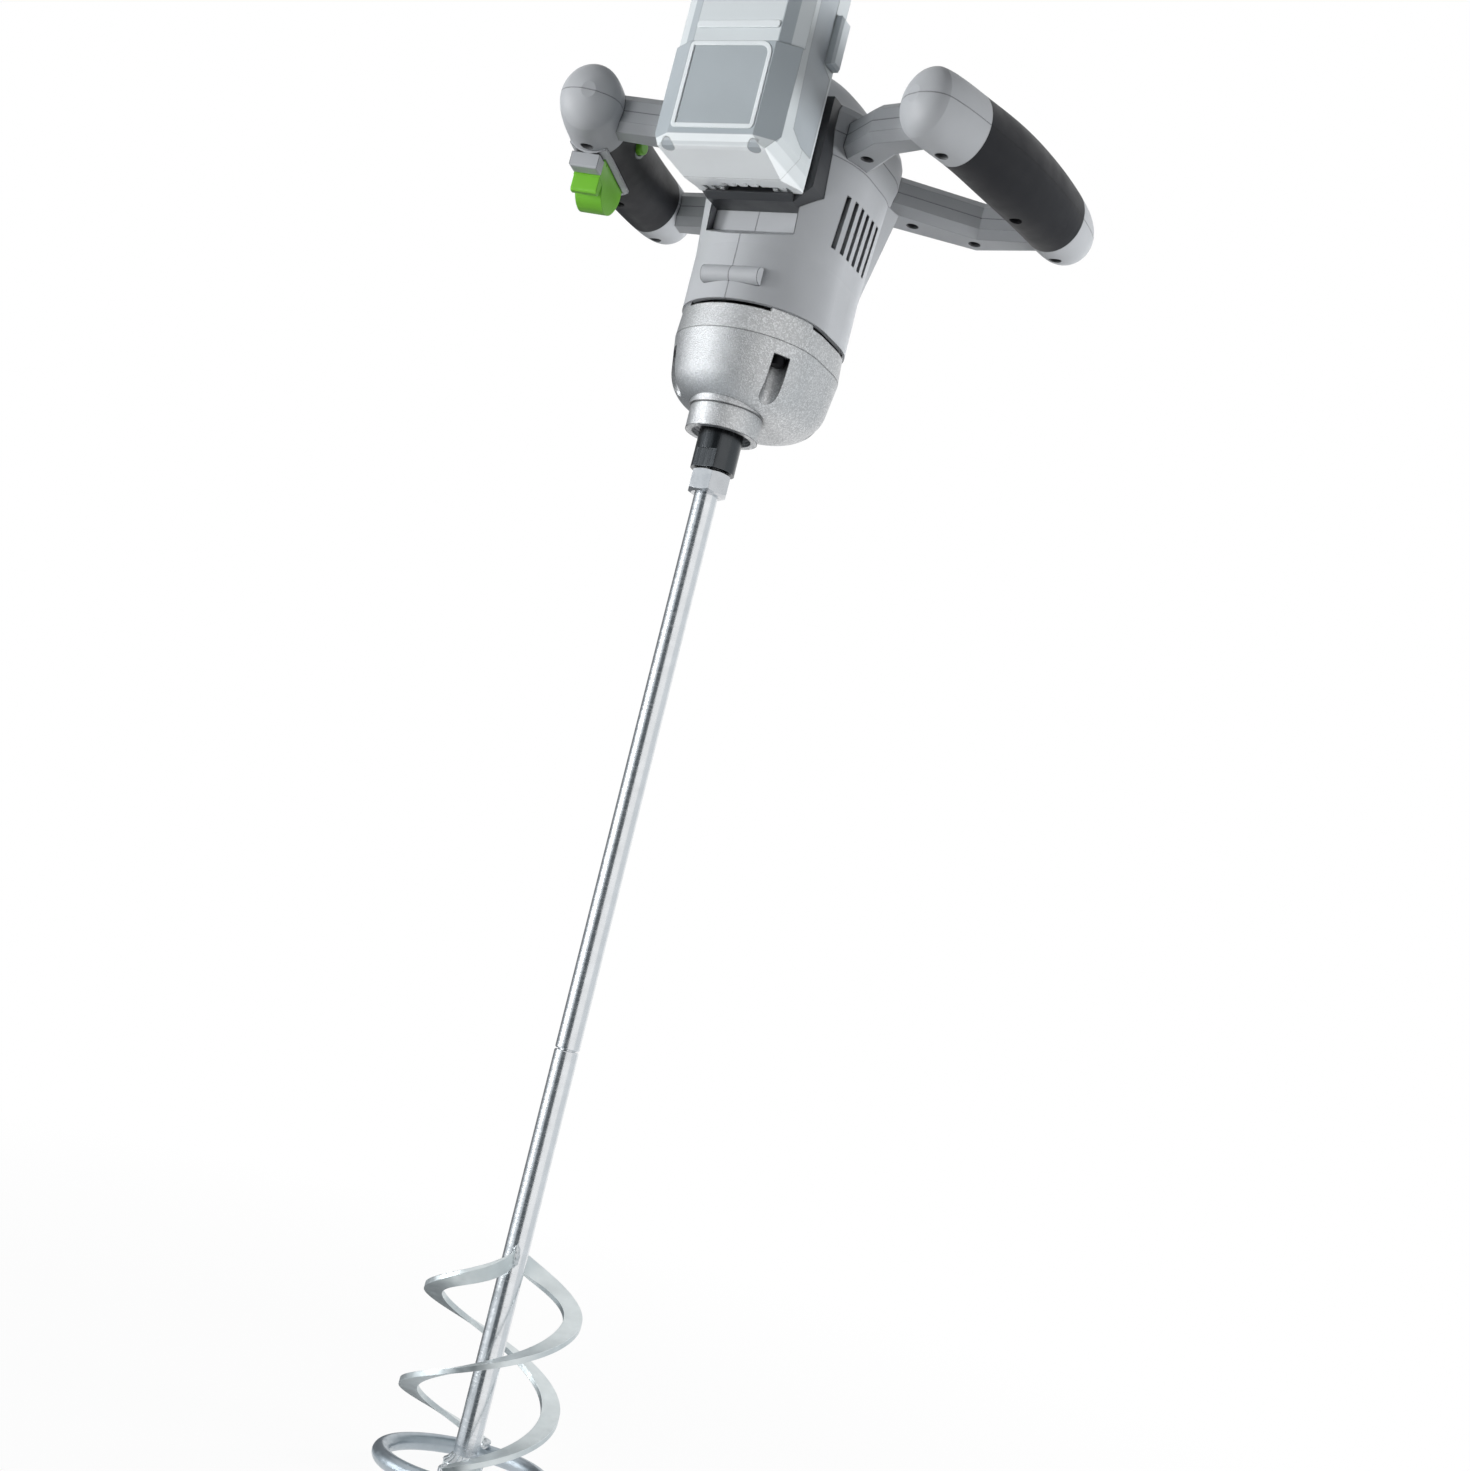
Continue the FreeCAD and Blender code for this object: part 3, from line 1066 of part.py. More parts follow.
def battery_label():
    return box(-LABEL_WIDTH / 2 + SEAT_GAP, LABEL_WIDTH / 2 - SEAT_GAP, BATTERY_FRONT + SEAT_GAP,
               BATTERY_FRONT + LABEL_DEPTH - SEAT_GAP, BATTERY_BOTTOM + LABEL_RISE + SEAT_GAP,
               BATTERY_BOTTOM + LABEL_RISE + LABEL_HEIGHT - SEAT_GAP)


# Five cells lie across the pack
SLOT_FRONT = DOCK_FACE_Y - RAIL_NECK - RAIL_HEAD - BODY_GAP - TERMINAL_WALL
CELL_Y = (BATTERY_FRONT + BATTERY_WALL + SLOT_FRONT) / 2
CELL_LOW = BATTERY_BOTTOM + BATTERY_WALL + CELL_RISE
CELL_HIGH = CELL_LOW + CELL_COUNT * (CELL_DIAMETER + SEAT_GAP)


def cell_heights():
    return [CELL_LOW + (CELL_DIAMETER + SEAT_GAP) * (index + 1 / 2) for index in range(CELL_COUNT)]


# A dark plate let into each side of the pack
def side_panels(inset, reach):
    points = [(BATTERY_FRONT + along * BATTERY_DEPTH, BATTERY_BOTTOM + up * BATTERY_HEIGHT)
              for along, up in SIDE_PANEL_SHARES]
    floor_x = BATTERY_WIDTH / 2 - SIDE_PANEL_DEPTH + inset
    corners = [V(floor_x, y, z) for y, z in inset_outline(points, inset)]
    right = Part.Face(Part.makePolygon(corners + corners[:1])).extrude(V(reach - floor_x, 0, 0))
    return [right, mirrored(right)]


def battery_side_panels():
    return Part.makeCompound(side_panels(SEAT_GAP, BATTERY_WIDTH / 2 - SEAT_GAP))


def battery_cells():
    return Part.makeCompound([cross_rod(CELL_DIAMETER / 2, -CELL_LENGTH / 2, CELL_LENGTH / 2, CELL_Y, z)
                              for z in cell_heights()])


def cell_cradle():
    z0 = BATTERY_BOTTOM + BATTERY_WALL + FOOT_ROUND
    front = BATTERY_FRONT + STEP_DEPTH + BATTERY_WALL + SEAT_GAP
    z1 = CELL_HIGH + CELL_DIAMETER / 4
    plates = []
    back = CELL_Y + CELL_DIAMETER / 2 + TERMINAL_WALL
    for side in (-1, 1):
        x = side * CELL_LENGTH / 4
        plates.append(box(x - BATTERY_WALL, x + BATTERY_WALL, front, back, z0, z1))
    spine = box(-CELL_LENGTH / 4, CELL_LENGTH / 4, front, front + TERMINAL_WALL, z0, z1)
    holes = [cross_rod(CELL_DIAMETER / 2 + SEAT_GAP, -CELL_LENGTH, CELL_LENGTH, CELL_Y, z)
             for z in cell_heights()]
    return joined(plates + [spine]).cut(holes)


# Each dock blade runs in a forked terminal inside the pack
def terminal_box(x, gap):
    half = BLADE_THICKNESS / 2 + gap
    rail_face = DOCK_FACE_Y - RAIL_NECK - RAIL_HEAD
    return box(x - half, x + half, rail_face - BLADE_DEPTH - gap, rail_face, BATTERY_BOTTOM - OVERRUN,
               RAIL_BOTTOM + BLADE_RISE + BLADE_LENGTH + gap)


def terminal_rooms(gap):
    return [terminal_box(x, gap) for x in blade_places()]


def battery_terminals():
    z0 = RAIL_BOTTOM + BLADE_RISE
    rail_face = DOCK_FACE_Y - RAIL_NECK - RAIL_HEAD - BODY_GAP - TERMINAL_WALL
    forks = []
    for x in blade_places():
        half = BLADE_THICKNESS / 2 + TERMINAL_CLEARANCE
        body = box(x - half - TERMINAL_WALL, x + half + TERMINAL_WALL,
                   rail_face - BLADE_DEPTH - TERMINAL_WALL, rail_face - SEAT_GAP, z0, z0 + BLADE_LENGTH)
        gap = box(x - half, x + half, rail_face - BLADE_DEPTH, rail_face + OVERRUN, z0 - OVERRUN,
                  z0 + BLADE_LENGTH + OVERRUN)
        forks.append(body.cut(gap))
    return Part.makeCompound(forks)


# Release buttons on both sides of the pack, pressed inwards against a coil spring
RELEASE_FRONT = BATTERY_BACK - RELEASE_SETBACK - RELEASE_WIDTH / 2
RELEASE_BACK = RELEASE_FRONT + RELEASE_WIDTH
RELEASE_LOW = BATTERY_BOTTOM + RELEASE_RISE - RELEASE_HEIGHT / 2
RELEASE_HIGH = RELEASE_LOW + RELEASE_HEIGHT
RELEASE_INNER = BATTERY_WIDTH / 2 - RELEASE_DEPTH
RELEASE_SEAT = RELEASE_INNER - RELEASE_TRAVEL - BODY_GAP


def release_opening():
    right = box(BATTERY_WIDTH / 2 - BATTERY_WALL - OVERRUN, BATTERY_WIDTH / 2 + OVERRUN,
                RELEASE_FRONT - BODY_GAP, RELEASE_BACK + BODY_GAP, RELEASE_LOW - BODY_GAP,
                RELEASE_HIGH + BODY_GAP)
    return [right, mirrored(right)]


def release_seats():
    right = box(RELEASE_SEAT - BATTERY_WALL, RELEASE_SEAT, RELEASE_FRONT, BATTERY_BACK - BATTERY_WALL / 2,
                RELEASE_LOW, RELEASE_HIGH)
    return [right, mirrored(right)]


def release_button():
    face = BATTERY_WIDTH / 2 + RELEASE_PROUD
    block = box(RELEASE_INNER, face, RELEASE_FRONT, RELEASE_BACK, RELEASE_LOW, RELEASE_HIGH)
    outer = [edge for edge in block.Edges if edge.BoundBox.XMin > face - SEAT_GAP]
    block = block.makeChamfer(RELEASE_TRAVEL / 2, outer)
    flange = box(RELEASE_INNER, RELEASE_INNER + RELEASE_FLANGE_THICKNESS, RELEASE_FRONT, RELEASE_BACK,
                 RELEASE_LOW - RELEASE_FLANGE, RELEASE_HIGH + RELEASE_FLANGE)
    pocket = cross_rod(SPRING_DIAMETER / 2 + BODY_GAP, RELEASE_INNER - OVERRUN,
                       RELEASE_INNER + RELEASE_SPRING_POCKET, (RELEASE_FRONT + RELEASE_BACK) / 2,
                       (RELEASE_LOW + RELEASE_HIGH) / 2)
    return joined([block, flange]).cut(pocket)


def release_springs():
    length = RELEASE_INNER + RELEASE_SPRING_POCKET - RELEASE_SEAT
    spring = side_coil(SPRING_DIAMETER, SPRING_WIRE, length)
    spring.translate(V(RELEASE_SEAT, (RELEASE_FRONT + RELEASE_BACK) / 2, (RELEASE_LOW + RELEASE_HIGH) / 2))
    return Part.makeCompound([spring, mirrored(spring)])


# Coil springs: one tube on arcs of a quarter turn along a helix
def coil(radius, wire, turns, length):
    steps = 4 * turns
    rise = length / steps
    edges = []
    for index in range(steps):
        points = []
        for part in (0, 1 / 2, 1):
            angle = (index + part) * math.pi / 2
            points.append(V(radius * math.cos(angle), radius * math.sin(angle), (index + part) * rise))
        edges.append(Part.Arc(*points).toShape())
    path = Part.Wire(edges)
    start = Part.Wire(Part.Circle(V(radius, 0, 0), V(0, 1, 0), wire / 2).toShape())
    return path.makePipeShell([start], True, False)


# The same coil lying along X, with its wire ends just clear of both seats
def side_coil(diameter, wire, length):
    spring = coil((diameter - wire) / 2, wire, SHORT_SPRING_TURNS, length - wire - 2 * SEAT_GAP)
    spring.translate(V(0, 0, wire / 2 + SEAT_GAP))
    spring.rotate(V(0, 0, 0), V(0, 1, 0), 90)
    return spring


# Trigger, guard and switch stand in the left handle's own frame
def left_place(shape):
    shape.Placement = handle_place(TRIGGER_Y)
    return mirrored(shape)


HANDLE_FLOOR = -HANDLE_HALF_HEIGHT * HANDLE_SHARES[3][2]
TRIGGER_FRONT = -TRIGGER_LENGTH / 2
FLANGE_BOTTOM = HANDLE_FLOOR + BEZEL_SINK + BODY_GAP
TRIGGER_TOP = FLANGE_BOTTOM + TRIGGER_FLANGE_THICKNESS
SWITCH_BOTTOM = TRIGGER_TOP + TRIGGER_TRAVEL + BODY_GAP


def trigger_well():
    half = TRIGGER_WIDTH / 2 + BEZEL_BORDER
    well = box(-half, half, TRIGGER_FRONT - BEZEL_BORDER - GUARD_LENGTH, -TRIGGER_FRONT + BEZEL_BORDER,
               HANDLE_FLOOR - OVERRUN, HANDLE_FLOOR + BEZEL_SINK)
    return left_place(well)


# Room for the trigger's flange to rise in
def trigger_way():
    half = TRIGGER_WIDTH / 2 + TRIGGER_FLANGE + BODY_GAP
    reach = -TRIGGER_FRONT + TRIGGER_FLANGE + BODY_GAP
    return left_place(box(-half, half, -reach, reach, HANDLE_FLOOR + BEZEL_SINK - SEAT_GAP,
                          SWITCH_BOTTOM + SEAT_GAP))


def trigger_bezel():
    half = TRIGGER_WIDTH / 2 + BEZEL_BORDER - SEAT_GAP
    back = -TRIGGER_FRONT + BEZEL_BORDER - SEAT_GAP
    front = TRIGGER_FRONT - BEZEL_BORDER - GUARD_LENGTH + SEAT_GAP
    slot_half = TRIGGER_WIDTH / 2 + BODY_GAP
    frame = box(-half, half, front, back, HANDLE_FLOOR - OVERRUN, HANDLE_FLOOR + BEZEL_SINK - SEAT_GAP)
    frame = left_place(frame).common(mirrored(handle_body(-BEZEL_PROUD, 0, 0)))
    guard = box(-slot_half, slot_half, front, TRIGGER_FRONT - BODY_GAP, HANDLE_FLOOR - GUARD_DROP, HANDLE_FLOOR)
    low = [edge for edge in guard.Edges if edge.BoundBox.ZMax < HANDLE_FLOOR - GUARD_DROP + SEAT_GAP]
    guard = left_place(guard.makeFillet(BEZEL_PROUD, low))
    slot = box(-slot_half, slot_half, TRIGGER_FRONT - BODY_GAP, -TRIGGER_FRONT + BODY_GAP,
               HANDLE_FLOOR - TRIGGER_DROP, HANDLE_FLOOR + BEZEL_SINK + OVERRUN)
    return joined([frame, guard]).cut(left_place(slot))


def trigger():
    profile = [V(0, TRIGGER_FRONT, TRIGGER_TOP)]
    for along, drop in TRIGGER_NOSE_SHARES:
        profile.append(V(0, TRIGGER_FRONT + along * TRIGGER_LENGTH, HANDLE_FLOOR - drop * TRIGGER_DROP))
    profile.append(V(0, -TRIGGER_FRONT, TRIGGER_TOP))
    curve = Part.BSplineCurve()
    curve.interpolate(profile[2:-1])
    edges = [Part.LineSegment(profile[0], profile[1]).toShape(),
             Part.LineSegment(profile[1], profile[2]).toShape(), curve.toShape(),
             Part.LineSegment(profile[-2], profile[-1]).toShape(),
             Part.LineSegment(profile[-1], profile[0]).toShape()]
    face = Part.Face(Part.Wire(edges))
    face.translate(V(-TRIGGER_WIDTH / 2, 0, 0))
    body = face.extrude(V(TRIGGER_WIDTH, 0, 0))
    half = TRIGGER_WIDTH / 2 + TRIGGER_FLANGE
    flange = box(-half, half, TRIGGER_FRONT - TRIGGER_FLANGE, -TRIGGER_FRONT + TRIGGER_FLANGE,
                 FLANGE_BOTTOM, TRIGGER_TOP)
    pocket = rod(SPRING_DIAMETER / 2 + BODY_GAP, TRIGGER_TOP - SPRING_POCKET, TRIGGER_TOP + OVERRUN)
    return left_place(joined([body, flange]).cut(pocket))


def trigger_spring():
    bottom = TRIGGER_TOP - SPRING_POCKET + SPRING_WIRE / 2 + SEAT_GAP
    top = SWITCH_BOTTOM - SPRING_WIRE / 2 - SEAT_GAP
    spring = coil((SPRING_DIAMETER - SPRING_WIRE) / 2, SPRING_WIRE, SPRING_TURNS, top - bottom)
    spring.translate(V(0, 0, bottom))
    return left_place(Part.makeCompound([spring]))


def switch_block(gap):
    block = box(-SWITCH_WIDTH / 2 - gap, SWITCH_WIDTH / 2 + gap, -SWITCH_LENGTH / 2 - gap,
                SWITCH_LENGTH / 2 + gap, SWITCH_BOTTOM - gap, SWITCH_BOTTOM + SWITCH_HEIGHT + gap)
    return left_place(block)


# Ribs across the left handle that carry the switch's two ends
def switch_ribs():
    ribs = []
    reach = HANDLE_HALF_HEIGHT
    outer = SWITCH_LENGTH / 2 - SEAT_GAP
    for side in (-1, 1):
        near, far = side * (outer - SWITCH_RIB), side * outer
        ribs.append(left_place(box(-reach, reach, min(near, far), max(near, far), -reach, reach)))
    return ribs


# Lock-off button on the inner side of the left handle, sprung in a round cup
LOCK_FACE = HANDLE_HALF_WIDTH * HANDLE_SHARES[3][1] - handle_x(LOCK_Y)
LOCK_BACK = LOCK_FACE - LOCK_LIP - BODY_GAP - LOCK_FLANGE_THICKNESS
LOCK_DEPTH = LOCK_FACE - LOCK_BACK + LOCK_TRAVEL + BODY_GAP + LOCK_FLOOR


def lock_well():
    return cross_rod(LOCK_DIAMETER / 2 + LOCK_BEZEL_BORDER, LOCK_FACE - LOCK_DEPTH, LOCK_FACE + OVERRUN,
                     LOCK_Y, PARTING)


def lock_bezel():
    cup = cross_rod(LOCK_DIAMETER / 2 + LOCK_BEZEL_BORDER - SEAT_GAP, LOCK_FACE - LOCK_DEPTH + SEAT_GAP, LOCK_FACE,
                    LOCK_Y, PARTING)
    mouth = cross_rod(LOCK_DIAMETER / 2 + BODY_GAP, LOCK_BACK, LOCK_FACE + OVERRUN, LOCK_Y, PARTING)
    room = cross_rod(LOCK_DIAMETER / 2 + LOCK_FLANGE + BODY_GAP, LOCK_FACE - LOCK_DEPTH + LOCK_FLOOR,
                     LOCK_FACE - LOCK_LIP, LOCK_Y, PARTING)
    return cup.cut([mouth, room])


def lock_button():
    stem = cross_rod(LOCK_DIAMETER / 2, LOCK_BACK, LOCK_FACE + LOCK_PROUD, LOCK_Y, PARTING)
    outer = [edge for edge in stem.Edges if edge.BoundBox.XMin > LOCK_FACE + LOCK_PROUD - SEAT_GAP]
    stem = stem.makeFillet(LOCK_ROUND, outer)
    flange = cross_rod(LOCK_DIAMETER / 2 + LOCK_FLANGE, LOCK_BACK, LOCK_BACK + LOCK_FLANGE_THICKNESS,
                       LOCK_Y, PARTING)
    pocket = cross_rod(LOCK_SPRING_DIAMETER / 2 + BODY_GAP, LOCK_BACK - OVERRUN, LOCK_BACK + LOCK_SPRING_POCKET,
                       LOCK_Y, PARTING)
    return joined([stem, flange]).cut(pocket)


def lock_spring():
    seat = LOCK_FACE - LOCK_DEPTH + LOCK_FLOOR
    spring = side_coil(LOCK_SPRING_DIAMETER, LOCK_SPRING_WIRE, LOCK_BACK + LOCK_SPRING_POCKET - seat)
    spring.translate(V(seat, LOCK_Y, PARTING))
    return Part.makeCompound([spring])


# Gears: straight teeth on a plain blank, one flank pair per tooth
def toothed(module, teeth, z0, z1, first_angle, x, y):
    pitch_radius = module * teeth / 2
    root = pitch_radius - module * TOOTH_DEDENDUM_SHARE
    tip = pitch_radius + module * TOOTH_ADDENDUM_SHARE
    pitch_angle = 2 * math.pi / teeth
    points = []
    for index in range(teeth):
        centre = math.radians(first_angle) + index * pitch_angle
        for radius, share in ((root, -TOOTH_ROOT_SHARE), (tip, -TOOTH_TIP_SHARE),
                              (tip, TOOTH_TIP_SHARE), (root, TOOTH_ROOT_SHARE)):
            angle = centre + share * pitch_angle / 2
            points.append((x + radius * math.cos(angle), y + radius * math.sin(angle)))
    return prism(points, z0, z1)


SPINDLE_GEAR_TOP = SPINDLE_GEAR_RISE + SLOW_GEAR_WIDTH
LAYSHAFT_BEARING = math.degrees(math.atan2(LAYSHAFT_Y, LAYSHAFT_X))
MOTOR_BEARING_ANGLE = math.degrees(math.atan2(MOTOR_OFFSET - LAYSHAFT_Y, -LAYSHAFT_X))


def spindle_gear():
    gear = toothed(SLOW_MODULE, SLOW_GEAR_TEETH, SPINDLE_GEAR_RISE, SPINDLE_GEAR_TOP, LAYSHAFT_BEARING, 0, 0)
    return gear.cut(rod(SPINDLE_GEAR_SEAT_DIAMETER / 2 + SEAT_GAP, SPINDLE_GEAR_RISE - OVERRUN,
                        SPINDLE_GEAR_TOP + OVERRUN))


def layshaft():
    half_step = 180 / SLOW_PINION_TEETH
    pinion = toothed(SLOW_MODULE, SLOW_PINION_TEETH, SPINDLE_GEAR_RISE - PINION_EXTRA_WIDTH,
                     SPINDLE_GEAR_TOP + PINION_EXTRA_WIDTH, LAYSHAFT_BEARING + 180 + half_step,
                     LAYSHAFT_X, LAYSHAFT_Y)
    shaft = rod(LAYSHAFT_DIAMETER / 2, layshaft_foot() + SEAT_GAP, PLATE_TOP, LAYSHAFT_X, LAYSHAFT_Y)
    return joined([shaft, pinion])


def layshaft_gear():
    z1 = FAST_GEAR_RISE + FAST_GEAR_WIDTH
    gear = toothed(FAST_MODULE, FAST_GEAR_TEETH, FAST_GEAR_RISE, z1, MOTOR_BEARING_ANGLE, LAYSHAFT_X, LAYSHAFT_Y)
    return gear.cut(rod(LAYSHAFT_DIAMETER / 2 + SEAT_GAP, FAST_GEAR_RISE - OVERRUN, z1 + OVERRUN,
                        LAYSHAFT_X, LAYSHAFT_Y))


def layshaft_bushes():
    outer = LAYSHAFT_DIAMETER / 2 + BUSH_WALL
    inner = LAYSHAFT_DIAMETER / 2 + RUNNING_GAP
    foot = layshaft_foot()
    lower = tube(outer, inner, foot + SEAT_GAP, foot + BUSH_LENGTH, LAYSHAFT_X, LAYSHAFT_Y)
    upper = tube(outer, inner, PLATE_TOP - BUSH_LENGTH + SEAT_GAP, PLATE_TOP, LAYSHAFT_X, LAYSHAFT_Y)
    return Part.makeCompound([lower, upper])


# Spindle: threaded nose with two flats, journal, gear seat and upper tip
def spindle():
    bearing_top = BEARING_SETBACK + BEARING_WIDTH
    nose = rod(SPINDLE_DIAMETER / 2, -SPINDLE_NOSE, SPINDLE_NOSE_RECESS)
    half = SPINDLE_FLATS / 2
    reach = SPINDLE_DIAMETER
    for side in (-1, 1):
        nose = nose.cut(box(min(side * half, side * reach), max(side * half, side * reach), -reach, reach,
                            -SPINDLE_NOSE - OVERRUN, -SPINDLE_NOSE + SPINDLE_FLAT_LENGTH))
    nose = nose.copy()
    nose.rotate(V(0, 0, 0), V(0, 0, 1), SPINDLE_FLAT_ANGLE)
    journal = rod(SPINDLE_JOURNAL_DIAMETER / 2, 0, bearing_top + BODY_GAP)
    collar = rod(SPINDLE_JOURNAL_DIAMETER / 2 + BODY_GAP, bearing_top + BODY_GAP, SPINDLE_GEAR_RISE - SEAT_GAP)
    seat = rod(SPINDLE_GEAR_SEAT_DIAMETER / 2, SPINDLE_GEAR_RISE - OVERRUN, SPINDLE_GEAR_TOP + BODY_GAP)
    tip = rod(SPINDLE_TIP_DIAMETER / 2, SPINDLE_GEAR_TOP, PLATE_TOP)
    body = joined([nose, journal, collar, seat, tip])
    return body.cut(rod(ROD_DIAMETER / 2 + SEAT_GAP, -SPINDLE_NOSE - OVERRUN,
                        -SPINDLE_NOSE + ROD_THREAD_REACH + SEAT_GAP))


def spindle_bearing():
    outer = tube(BEARING_DIAMETER / 2, SPINDLE_JOURNAL_DIAMETER / 2 + RUNNING_GAP, BEARING_SETBACK,
                 BEARING_SETBACK + BEARING_WIDTH)
    mid = (BEARING_DIAMETER + SPINDLE_JOURNAL_DIAMETER) / 4
    seal = (BEARING_DIAMETER - SPINDLE_JOURNAL_DIAMETER) / 8
    grooves = [tube(mid + seal, mid - seal, BEARING_SETBACK - OVERRUN, BEARING_SETBACK + SEAL_RECESS),
               tube(mid + seal, mid - seal, BEARING_SETBACK + BEARING_WIDTH - SEAL_RECESS,
                    BEARING_SETBACK + BEARING_WIDTH + OVERRUN)]
    return outer.cut(grooves)


def spindle_circlip():
    z0 = circlip_bottom()
    outer = BEARING_DIAMETER / 2 + CIRCLIP_WIDTH / 2 - SEAT_GAP
    ring = tube(outer, outer - CIRCLIP_WIDTH, z0, z0 + CIRCLIP_THICKNESS)
    gap = box(0, BEARING_DIAMETER, -CIRCLIP_GAP / 2, CIRCLIP_GAP / 2, z0 - OVERRUN,
              z0 + CIRCLIP_THICKNESS + OVERRUN)
    return ring.cut(gap)


def spindle_bush():
    return tube(SPINDLE_TIP_DIAMETER / 2 + BUSH_WALL, SPINDLE_TIP_DIAMETER / 2 + RUNNING_GAP,
                PLATE_TOP - BUSH_LENGTH + SEAT_GAP, PLATE_TOP)


# Motor: can and magnets stand still, shaft, core, commutator and fan turn
def motor_can():
    shell = tube(CAN_DIAMETER / 2, CAN_DIAMETER / 2 - CAN_WALL, CAN_BOTTOM, CAN_TOP, 0, MOTOR_OFFSET)
    end = tube(CAN_DIAMETER / 2, ROTOR_SHAFT_DIAMETER / 2 + CAN_WALL, CAN_TOP - CAN_WALL, CAN_TOP, 0, MOTOR_OFFSET)
    return joined([shell, end])


def motor_magnets():
    outer = CAN_DIAMETER / 2 - CAN_WALL - SEAT_GAP
    ring = tube(outer, outer - MAGNET_THICKNESS, CAN_BOTTOM + MAGNET_MARGIN / 2,
                CORE_TOP + MAGNET_MARGIN / 4, 0, MOTOR_OFFSET)
    spread = math.radians(MAGNET_ANGLE / 2)
    reach = CAN_DIAMETER
    wedge = prism([(0, MOTOR_OFFSET), (reach * math.cos(spread), MOTOR_OFFSET + reach * math.sin(spread)),
                   (reach, MOTOR_OFFSET), (reach * math.cos(spread), MOTOR_OFFSET - reach * math.sin(spread))],
                  CAN_BOTTOM, CAN_TOP)
    right = ring.common(wedge)
    return Part.makeCompound([right, mirrored(right)])


def motor_bearings():
    inner = ROTOR_SHAFT_DIAMETER / 2 + RUNNING_GAP
    outer = MOTOR_BEARING_DIAMETER / 2
    lower = tube(outer, inner, PLATE_TOP - MOTOR_BEARING_WIDTH + SEAT_GAP, PLATE_TOP, 0, MOTOR_OFFSET)
    upper = tube(outer, inner, CAN_TOP + SEAT_GAP, CAN_TOP + MOTOR_BEARING_WIDTH, 0, MOTOR_OFFSET)
    return Part.makeCompound([lower, upper])


def rotor_shaft():
    shaft = rod(ROTOR_SHAFT_DIAMETER / 2, FAST_GEAR_RISE + FAST_GEAR_WIDTH + PINION_EXTRA_WIDTH,
                CAN_TOP + MOTOR_BEARING_WIDTH, 0, MOTOR_OFFSET)
    half_step = 180 / FAST_PINION_TEETH
    pinion = toothed(FAST_MODULE, FAST_PINION_TEETH, FAST_GEAR_RISE - PINION_EXTRA_WIDTH,
                     FAST_GEAR_RISE + FAST_GEAR_WIDTH + PINION_EXTRA_WIDTH,
                     MOTOR_BEARING_ANGLE + 180 + half_step, 0, MOTOR_OFFSET)
    return joined([shaft, pinion])


def rotor_core():
    core = tube(CORE_DIAMETER / 2, ROTOR_SHAFT_DIAMETER / 2 + SEAT_GAP, CORE_BOTTOM, CORE_TOP, 0, MOTOR_OFFSET)
    slots = []
    for index in range(CORE_SLOTS):
        slot = box(CORE_DIAMETER / 2 - CORE_SLOT_DEPTH, CORE_DIAMETER, -CORE_SLOT_WIDTH / 2, CORE_SLOT_WIDTH / 2,
                   CORE_BOTTOM - OVERRUN, CORE_TOP + OVERRUN)
        slot.rotate(V(0, 0, 0), V(0, 0, 1), index * 360 / CORE_SLOTS)
        slot.translate(V(0, MOTOR_OFFSET, 0))
        slots.append(slot)
    return core.cut(slots)


def commutator():
    return tube(COMMUTATOR_DIAMETER / 2, ROTOR_SHAFT_DIAMETER / 2 + SEAT_GAP, COMMUTATOR_BOTTOM, COMMUTATOR_TOP,
                0, MOTOR_OFFSET)


def cooling_fan():
    z0 = PLATE_TOP + FAN_RISE
    hub = tube(FAN_HUB_DIAMETER / 2, ROTOR_SHAFT_DIAMETER / 2 + SEAT_GAP, z0, z0 + FAN_HEIGHT, 0, MOTOR_OFFSET)
    disc = tube(FAN_DIAMETER / 2, ROTOR_SHAFT_DIAMETER / 2 + SEAT_GAP, z0 + FAN_HEIGHT - FAN_PLATE, z0 + FAN_HEIGHT,
                0, MOTOR_OFFSET)
    blades = []
    for index in range(FAN_BLADES):
        blade = box(FAN_HUB_DIAMETER / 2 - FAN_BLADE_THICKNESS, FAN_DIAMETER / 2 - FAN_PLATE,
                    -FAN_BLADE_THICKNESS / 2, FAN_BLADE_THICKNESS / 2, z0 + FAN_PLATE / 2,
                    z0 + FAN_HEIGHT - FAN_PLATE / 2)
        blade.rotate(V(0, 0, 0), V(0, 0, 1), index * 360 / FAN_BLADES)
        blade.translate(V(0, MOTOR_OFFSET, 0))
        blades.append(blade)
    return joined([hub, disc] + blades)


def brush_z():
    return (COMMUTATOR_BOTTOM + COMMUTATOR_TOP) / 2


def carbon_brushes():
    near = COMMUTATOR_DIAMETER / 2 + BODY_GAP
    z = brush_z()
    right = box(near, near + BRUSH_LENGTH, MOTOR_OFFSET - BRUSH_WIDTH / 2, MOTOR_OFFSET + BRUSH_WIDTH / 2,
                z - BRUSH_WIDTH / 2, z + BRUSH_WIDTH / 2)
    return Part.makeCompound([right, mirrored(right)])


